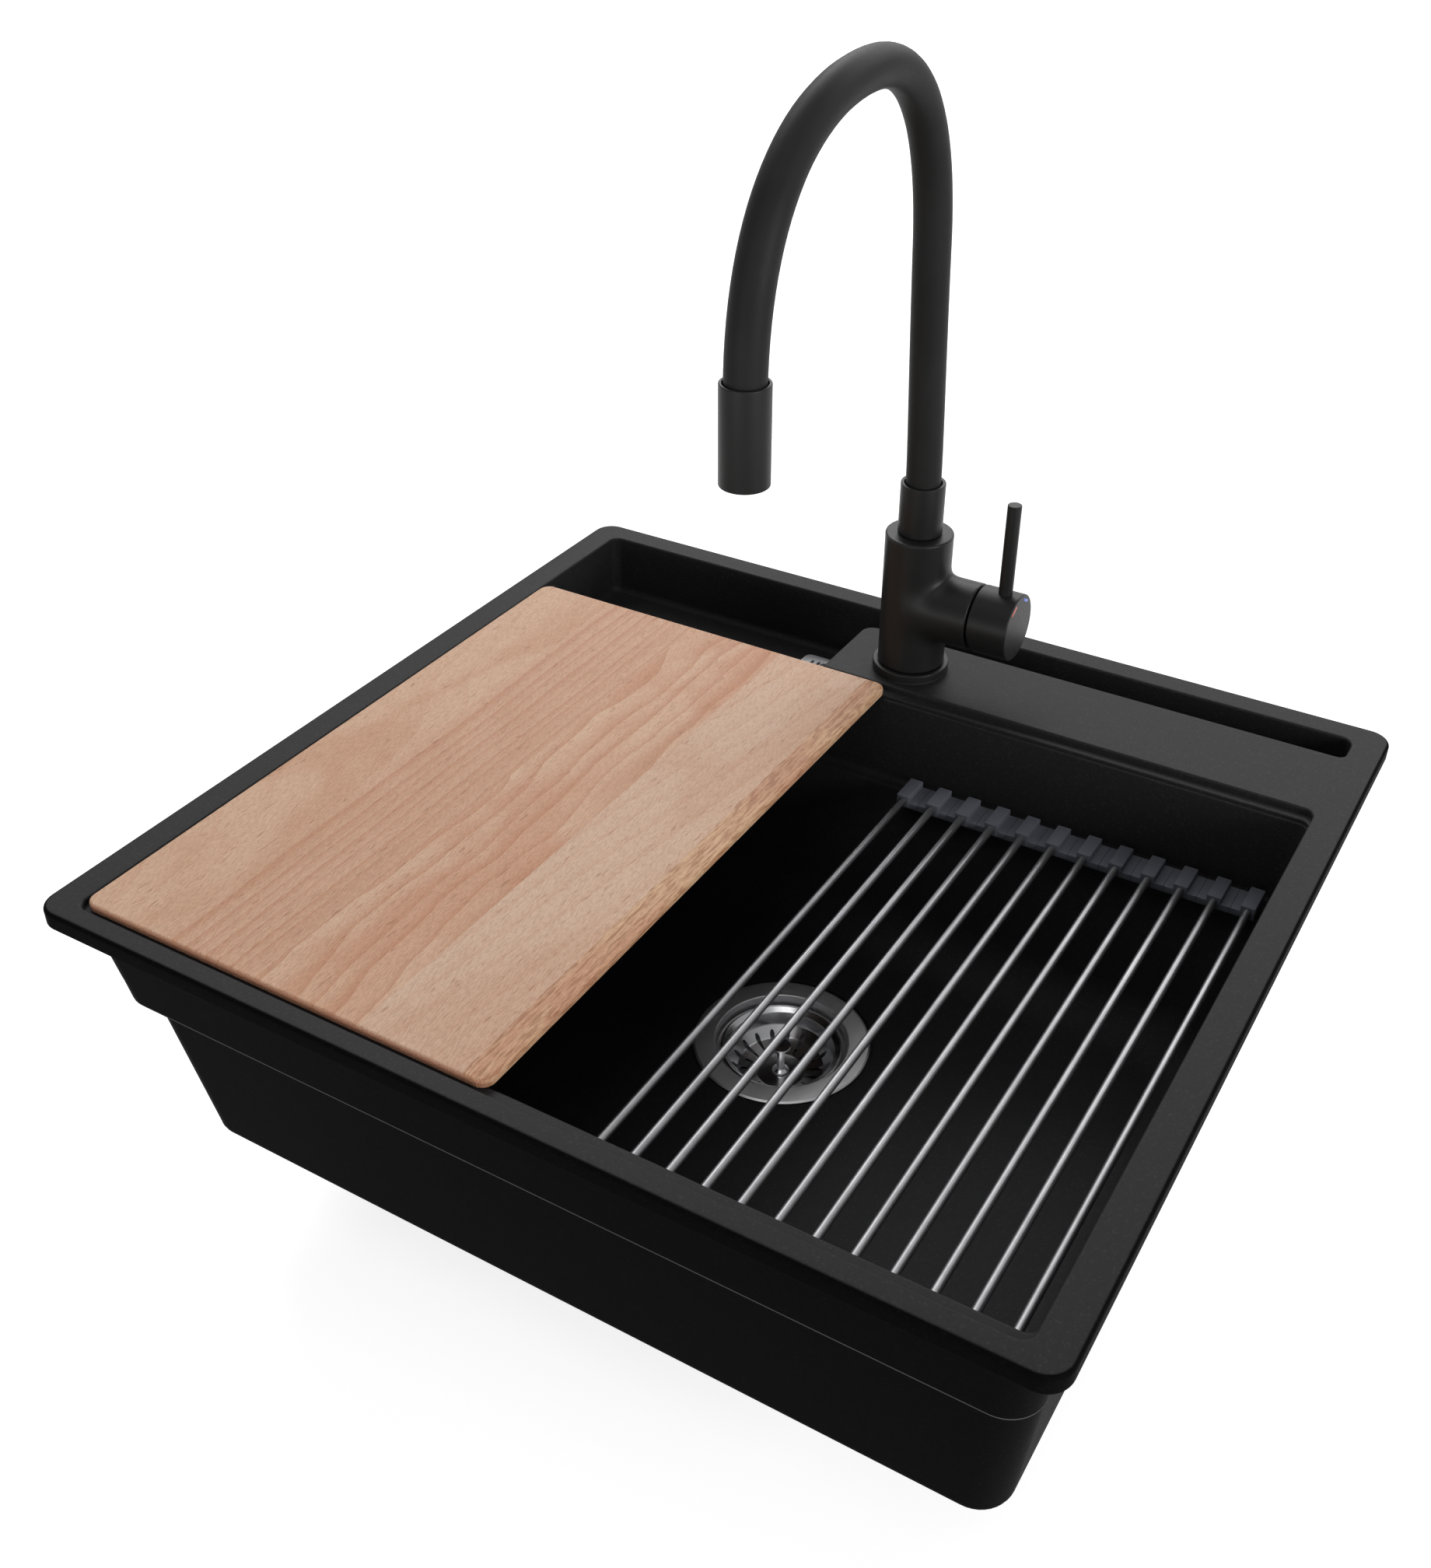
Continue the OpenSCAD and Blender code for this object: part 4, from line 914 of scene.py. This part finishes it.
def buildHose():
    # four points (y, z) on the middle line, each with the handles before and after it; a handle is a share of
    # the rise or the reach beside it
    high, near, far = hose["crownHigh"], hose["crownReach"], hose["reach"]
    y, lean = tap["axis"][1], near / 8
    foot = (y, hose["foot"])
    rise = (y - lean, hose["sleeveTop"] + 0.58 * high)
    crown = (y - near, hose["sleeveTop"] + high)
    nose = (y - far, hose["nose"])
    handles = [
        (foot, None, (foot[0], foot[1] + 0.11 * high)),
        (rise, (rise[0] + 0.46 * lean, rise[1] - 0.3 * high), (rise[0] - 0.4 * lean, rise[1] + 0.25 * high)),
        (crown, (crown[0] + 0.55 * near, crown[1]), (crown[0] - 0.6 * (far - near), crown[1])),
        (nose, (nose[0], nose[1] + 0.33 * high), None),
    ]
    curve = bpy.data.curves.new("hoseCurve", "CURVE")
    curve.dimensions = "3D"
    spline = curve.splines.new("BEZIER")
    spline.bezier_points.add(len(handles) - 1)
    for point, (place, before, after) in zip(spline.bezier_points, handles):
        point.co = (0, place[0] * mm, place[1] * mm)
        point.handle_left_type = point.handle_right_type = "FREE"
        before = before or place
        after = after or place
        point.handle_left = (0, before[0] * mm, before[1] * mm)
        point.handle_right = (0, after[0] * mm, after[1] * mm)
    curve.resolution_u = 28
    curve.bevel_depth = hose["radius"] * mm
    curve.bevel_resolution = 12
    curve.use_fill_caps = True
    source = bpy.data.objects.new("hoseCurve", curve)
    bpy.context.scene.collection.objects.link(source)
    bpy.context.view_layer.update()
    mesh = bpy.data.meshes.new_from_object(source.evaluated_get(bpy.context.evaluated_depsgraph_get()))
    bpy.data.objects.remove(source)
    bm = bmesh.new()
    bm.from_mesh(mesh)
    return finishMesh(bm, "spoutHose", hoseSilicone, 60, 0.000002)


spoutHose = buildHose()
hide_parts("spout_hose")
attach(spoutHose, "spout")

headPiece = turnedPiece("sprayHead", tap["sprayHead"], powderCoat, tapAxis - Vector((0, hose["reach"], 0)))
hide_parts("spray_head")
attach(headPiece, "spout")

lever = {
    "start": 46,
    "end": 72.5,
    "radius": 22,
    "wall": 2.5,
    "face": 3,
    "relief": 9.8,
    "pinX": 61.9,
    "pinRadius": 4.5,
    "pinLow": 66.6,
    "pinTop": 144,
}


def buildCap():
    start, end, radius = lever["start"], lever["end"], lever["radius"]
    length = end - start
    inside, floor = radius - lever["wall"], length - lever["face"]
    centre = Vector((start, tap["axis"][1], tap["armZ"]))
    piece = turnedPiece("leverCap", [(0, floor, 0), (inside, floor, 0), (inside, 0, 0.2), (radius, 0, 0.5),
                                     (radius, length, 1.1), (0, length, 0)], powderCoat, centre, 96, sideways)
    # below the axis the cap is relieved, so that it can tip back
    bm = bmesh.new()
    made = bmesh.ops.create_cube(bm, size=1.0)
    bmesh.ops.scale(bm, vec=Vector((40, 60, 60)) * mm, verts=made["verts"])
    bmesh.ops.translate(bm, vec=Vector((-20, 0, -30)) * mm, verts=made["verts"])
    turn = Matrix.Translation(centre * mm) @ Matrix.Rotation(math.radians(-lever["relief"]), 4, "Y")
    bmesh.ops.transform(bm, matrix=turn, verts=bm.verts)
    cutAway(piece, finishMesh(bm, "relief", powderCoat))
    shadeFlats(piece, 35)
    return piece


leverCap = buildCap()
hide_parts("lever_cap")
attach(leverCap, "lever")

pinRadius, pinLow, pinTop = lever["pinRadius"], lever["pinLow"], lever["pinTop"]
leverPin = turnedPiece("leverPin", [(0, pinLow, 0), (pinRadius, pinLow, 0), (pinRadius, pinTop, 0.7),
                                    (0, pinTop, 0)], powderCoat, (lever["pinX"], tap["axis"][1], 0), 48)
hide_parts("lever_pin")
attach(leverPin, "lever")


mark = {"half": (4, 0.9), "sunk": 0.4, "proud": 0.12, "rounding": 0.1, "radius": 18.3, "turn": 30}


def buildMark(name, node, material):
    # an enamelled bar near the edge of the cap's face, turned to one side
    low, high = (Vector(v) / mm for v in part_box(node))
    turn = mark["turn"] if (low.y + high.y) / 2 < tap["axis"][1] else -mark["turn"]
    halfLong, halfWide = mark["half"]
    bm = bmesh.new()
    addBevelledBox(bm, (-mark["sunk"], -halfLong, -halfWide), (mark["proud"], halfLong, halfWide),
                   mark["rounding"])
    bmesh.ops.translate(bm, vec=(0, 0, mark["radius"] * mm), verts=bm.verts)
    middle = Matrix.Translation(Vector((high.x, tap["axis"][1], tap["armZ"])) * mm)
    bmesh.ops.transform(bm, matrix=middle @ Matrix.Rotation(math.radians(turn), 4, "X"), verts=bm.verts)
    piece = finishMesh(bm, name, material, 60, 0.000001)
    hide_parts(node)
    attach(piece, "lever")


buildMark("hotMark", "hot_mark", hotEnamel)
buildMark("coldMark", "cold_mark", coldEnamel)
print("tap built")


# profiles are (radius, height, rounding); the flange's heights are from its top
strainer = {
    "place": (20, -4, 0),
    "top": -155.0,
    "flange": [(36.5, -33, 0), (37.5, -33, 0), (37.5, -11, 0), (42.5, -8, 0), (42.5, -1.6, 0),
               (56.5, -1.6, 0.2), (56.5, -0.9, 0.3), (55.2, 0, 0.6), (42.4, 0, 1.2), (41.3, -7.6, 1.0),
               (36.6, -10, 0.8), (36.5, -32, 2), (3.1, -33, 0), (3.1, -34, 0), (37.0, -34, 0), (36.5, -33, 0)],
    "slots": 18,
    # one slot in plan: it widens outwards and ends round
    "slot": [(16.6, -0.35), (26, -1.2), (29.6, -1.6), (31.2, -1.1), (31.9, 0), (31.2, 1.1), (29.6, 1.6),
             (26, 1.2), (16.6, 0.35)],
}


def buildFlange():
    profile = [(radius, strainer["top"] + height, rounding) for radius, height, rounding in strainer["flange"]]
    return turnedPiece("strainerFlange", profile, satinSteel, strainer["place"], 96)


def buildBasket():
    low, high = (Vector(v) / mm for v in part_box("strainer_basket"))
    foot, lip = low.z, high.z
    piece = turnedPiece("strainerBasket", [
        (3.1, foot, 0), (16, foot, 1), (28.3, foot + 3, 3), (35.3, foot + 10, 1.5), (35.3, lip - 3.4, 1),
        (39, lip - 1, 0.3), (39, lip, 0.3), (37.6, lip, 0.8), (34.1, lip - 2.4, 1), (34.1, foot + 10.4, 1.2),
        (27.8, foot + 4, 2.5), (15.6, foot + 1, 1), (3.1, foot + 1, 0), (3.1, foot, 0)],
        polishedSteel, strainer["place"], 108)
    bm = bmesh.new()
    for k in range(strainer["slots"]):
        rings = addSkin(bm, [(strainer["slot"], height) for height in (foot - 2, foot + 12)])
        for ring in rings:
            bmesh.ops.contextual_create(bm, geom=ring)
        fresh = {v for ring in rings for e in ring for v in e.verts}
        bmesh.ops.rotate(bm, cent=(0, 0, 0), verts=list(fresh),
                         matrix=Matrix.Rotation(2 * math.pi * (k + 0.5) / strainer["slots"], 3, "Z"))
    bmesh.ops.translate(bm, vec=Vector(strainer["place"]) * mm, verts=bm.verts)
    cutAway(piece, finishMesh(bm, "slotCutters", polishedSteel))
    shadeFlats(piece, 35)
    return piece


def buildPost():
    # the stem through the basket's floor and the knob on it
    foot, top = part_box("strainer_basket")[0][2] / mm, strainer["top"] - 5
    return turnedPiece("basketPost", [
        (0, foot - 2.4, 0), (3, foot - 2.4, 0), (3, foot + 1.5, 0), (5.5, foot + 1.5, 0.3),
        (5.2, foot + 2.6, 0.6), (2.6, foot + 4.5, 1.5), (2.6, top - 3, 1), (4.6, top - 1.2, 0.8),
        (6.3, top - 0.8, 0.3), (6.3, top, 0.3), (0, top, 0)], polishedSteel, strainer["place"], 48)


flangePiece = buildFlange()
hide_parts("strainer_flange")
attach(flangePiece, "sink")
basketPiece = buildBasket()
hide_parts("strainer_basket")
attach(basketPiece, "basket")

postPiece = buildPost()
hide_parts("basket_post")
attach(postPiece, "basket")
print("strainer built")


# place and size in metres, power in watts
lamps = {
    "backLight": {"place": (-0.3, 3.2, 2.2), "size": (4.2, 1.8), "power": 90},
    "keyLight": {"place": (-1.9, 1.5, 2.5), "size": (2.2, 1.6), "power": 52},
    "sideLight": {"place": (3.0, -0.7, 0.8), "size": (1.6, 1.2), "power": 66},
    "topLight": {"place": (0.1, -0.9, 2.4), "size": (1.6, 1.6), "power": 10},
    "frontLight": {"place": (-0.2, -3.0, 0.12), "size": (2.0, 0.5), "power": 18},
}


def addLight(name, place, size, power):
    # every lamp looks at the middle of the rim
    data = bpy.data.lights.new(name, "AREA")
    data.shape = "RECTANGLE"
    data.size, data.size_y = size
    data.energy = power
    lamp = bpy.data.objects.new(name, data)
    lamp.location = place
    lamp.rotation_euler = (-Vector(place)).to_track_quat("-Z", "Y").to_euler()
    bpy.context.scene.collection.objects.link(lamp)


for name, values in lamps.items():
    addLight(name, **values)


# lengths are in metres; the floor's own glow comes up over glowReach from the middle of the rim
studio = {
    "fill": 0.15,
    "ceiling": 0.45,
    "floorSize": 40.0,
    "floorGap": 0.001,
    "floorGlow": 0.80,
    "glowReach": (1.2, 4.0),
    "floorLit": "#b4b4b4",
    "bounce": "#a0a0a0",
}


def whiteRays(tree):
    # rays that should meet the white background: the camera's, and those off metal and through clear pieces
    ray = addNode(tree, "ShaderNodeLightPath")
    two = addNode(tree, "ShaderNodeMath", {
        0: ray.outputs["Is Camera Ray"], 1: ray.outputs["Is Glossy Ray"]}, operation="ADD")
    return addNode(tree, "ShaderNodeMath", {0: two.outputs[0], 1: ray.outputs["Is Transmission Ray"]},
                   operation="ADD", use_clamp=True).outputs[0]


def makeBackground():
    # white where the camera looks; metal sees a sweep that is white near the horizon and a grey ceiling
    world = bpy.data.worlds.new("studio")
    world.use_nodes = True
    tree = world.node_tree
    tree.nodes.clear()
    view = addNode(tree, "ShaderNodeTexCoord")
    up = addNode(tree, "ShaderNodeSeparateXYZ", {"Vector": view.outputs["Generated"]})
    sweep = addNode(tree, "ShaderNodeMapRange", {
        "Value": up.outputs["Z"], "From Min": 0.05, "From Max": 0.55, "To Min": 1.0,
        "To Max": studio["ceiling"]}, interpolation_type="SMOOTHSTEP")
    mirrored = addNode(tree, "ShaderNodeMapRange", {
        "Value": whiteRays(tree), "To Min": studio["fill"], "To Max": sweep.outputs["Result"]})
    direct = addNode(tree, "ShaderNodeLightPath").outputs["Is Camera Ray"]
    strength = addNode(tree, "ShaderNodeMath", {0: mirrored.outputs["Result"], 1: direct}, operation="MAXIMUM")
    back = addNode(tree, "ShaderNodeBackground", {
        "Color": hexColour("#ffffff"), "Strength": strength.outputs[0]})
    out = addNode(tree, "ShaderNodeOutputWorld")
    tree.links.new(back.outputs[0], out.inputs["Surface"])
    bpy.context.scene.world = world


makeBackground()


def makeFloor():
    bm = bmesh.new()
    bmesh.ops.create_grid(bm, x_segments=1, y_segments=1, size=studio["floorSize"])
    bmesh.ops.translate(bm, vec=(0, 0, cadBounds[0][2] - studio["floorGap"]), verts=bm.verts)
    material = bpy.data.materials.new("paleFloor")
    material.use_nodes = True
    tree = material.node_tree
    shader = tree.nodes["Principled BSDF"]
    shader.inputs["Base Color"].default_value = hexColour(studio["bounce"])
    shader.inputs["Roughness"].default_value = 0.9
    # seen by the camera it is white, and only in part by its own glow, so that the shadow stays
    lit = addNode(tree, "ShaderNodeBsdfDiffuse", {"Color": hexColour(studio["floorLit"])})
    # the lamps' light falls off with distance, so the glow makes up for it further out
    where = addNode(tree, "ShaderNodeTexCoord").outputs["Object"]
    away = addNode(tree, "ShaderNodeVectorMath", {0: where}, operation="LENGTH")
    strength = addNode(tree, "ShaderNodeMapRange", {
        "Value": away.outputs["Value"], "From Min": studio["glowReach"][0],
        "From Max": studio["glowReach"][1], "To Min": studio["floorGlow"], "To Max": 1.0})
    glow = addNode(tree, "ShaderNodeEmission", {
        "Color": hexColour("#ffffff"), "Strength": strength.outputs["Result"]})
    seen = addNode(tree, "ShaderNodeAddShader", {0: lit.outputs[0], 1: glow.outputs[0]})
    mix = addNode(tree, "ShaderNodeMixShader", {0: whiteRays(tree), 1: shader.outputs[0], 2: seen.outputs[0]})
    # from below the floor is clear, so that the underside of the sink shows
    below = addNode(tree, "ShaderNodeNewGeometry").outputs["Backfacing"]
    clear = addNode(tree, "ShaderNodeBsdfTransparent")
    surface = addNode(tree, "ShaderNodeMixShader", {0: below, 1: mix.outputs[0], 2: clear.outputs[0]})
    tree.links.new(surface.outputs[0], tree.nodes["Material Output"].inputs["Surface"])
    mesh = bpy.data.meshes.new("floor")
    bm.to_mesh(mesh)
    bm.free()
    mesh.materials.append(material)
    floor = bpy.data.objects.new("floor", mesh)
    bpy.context.scene.collection.objects.link(floor)


makeFloor()
print("stage built")
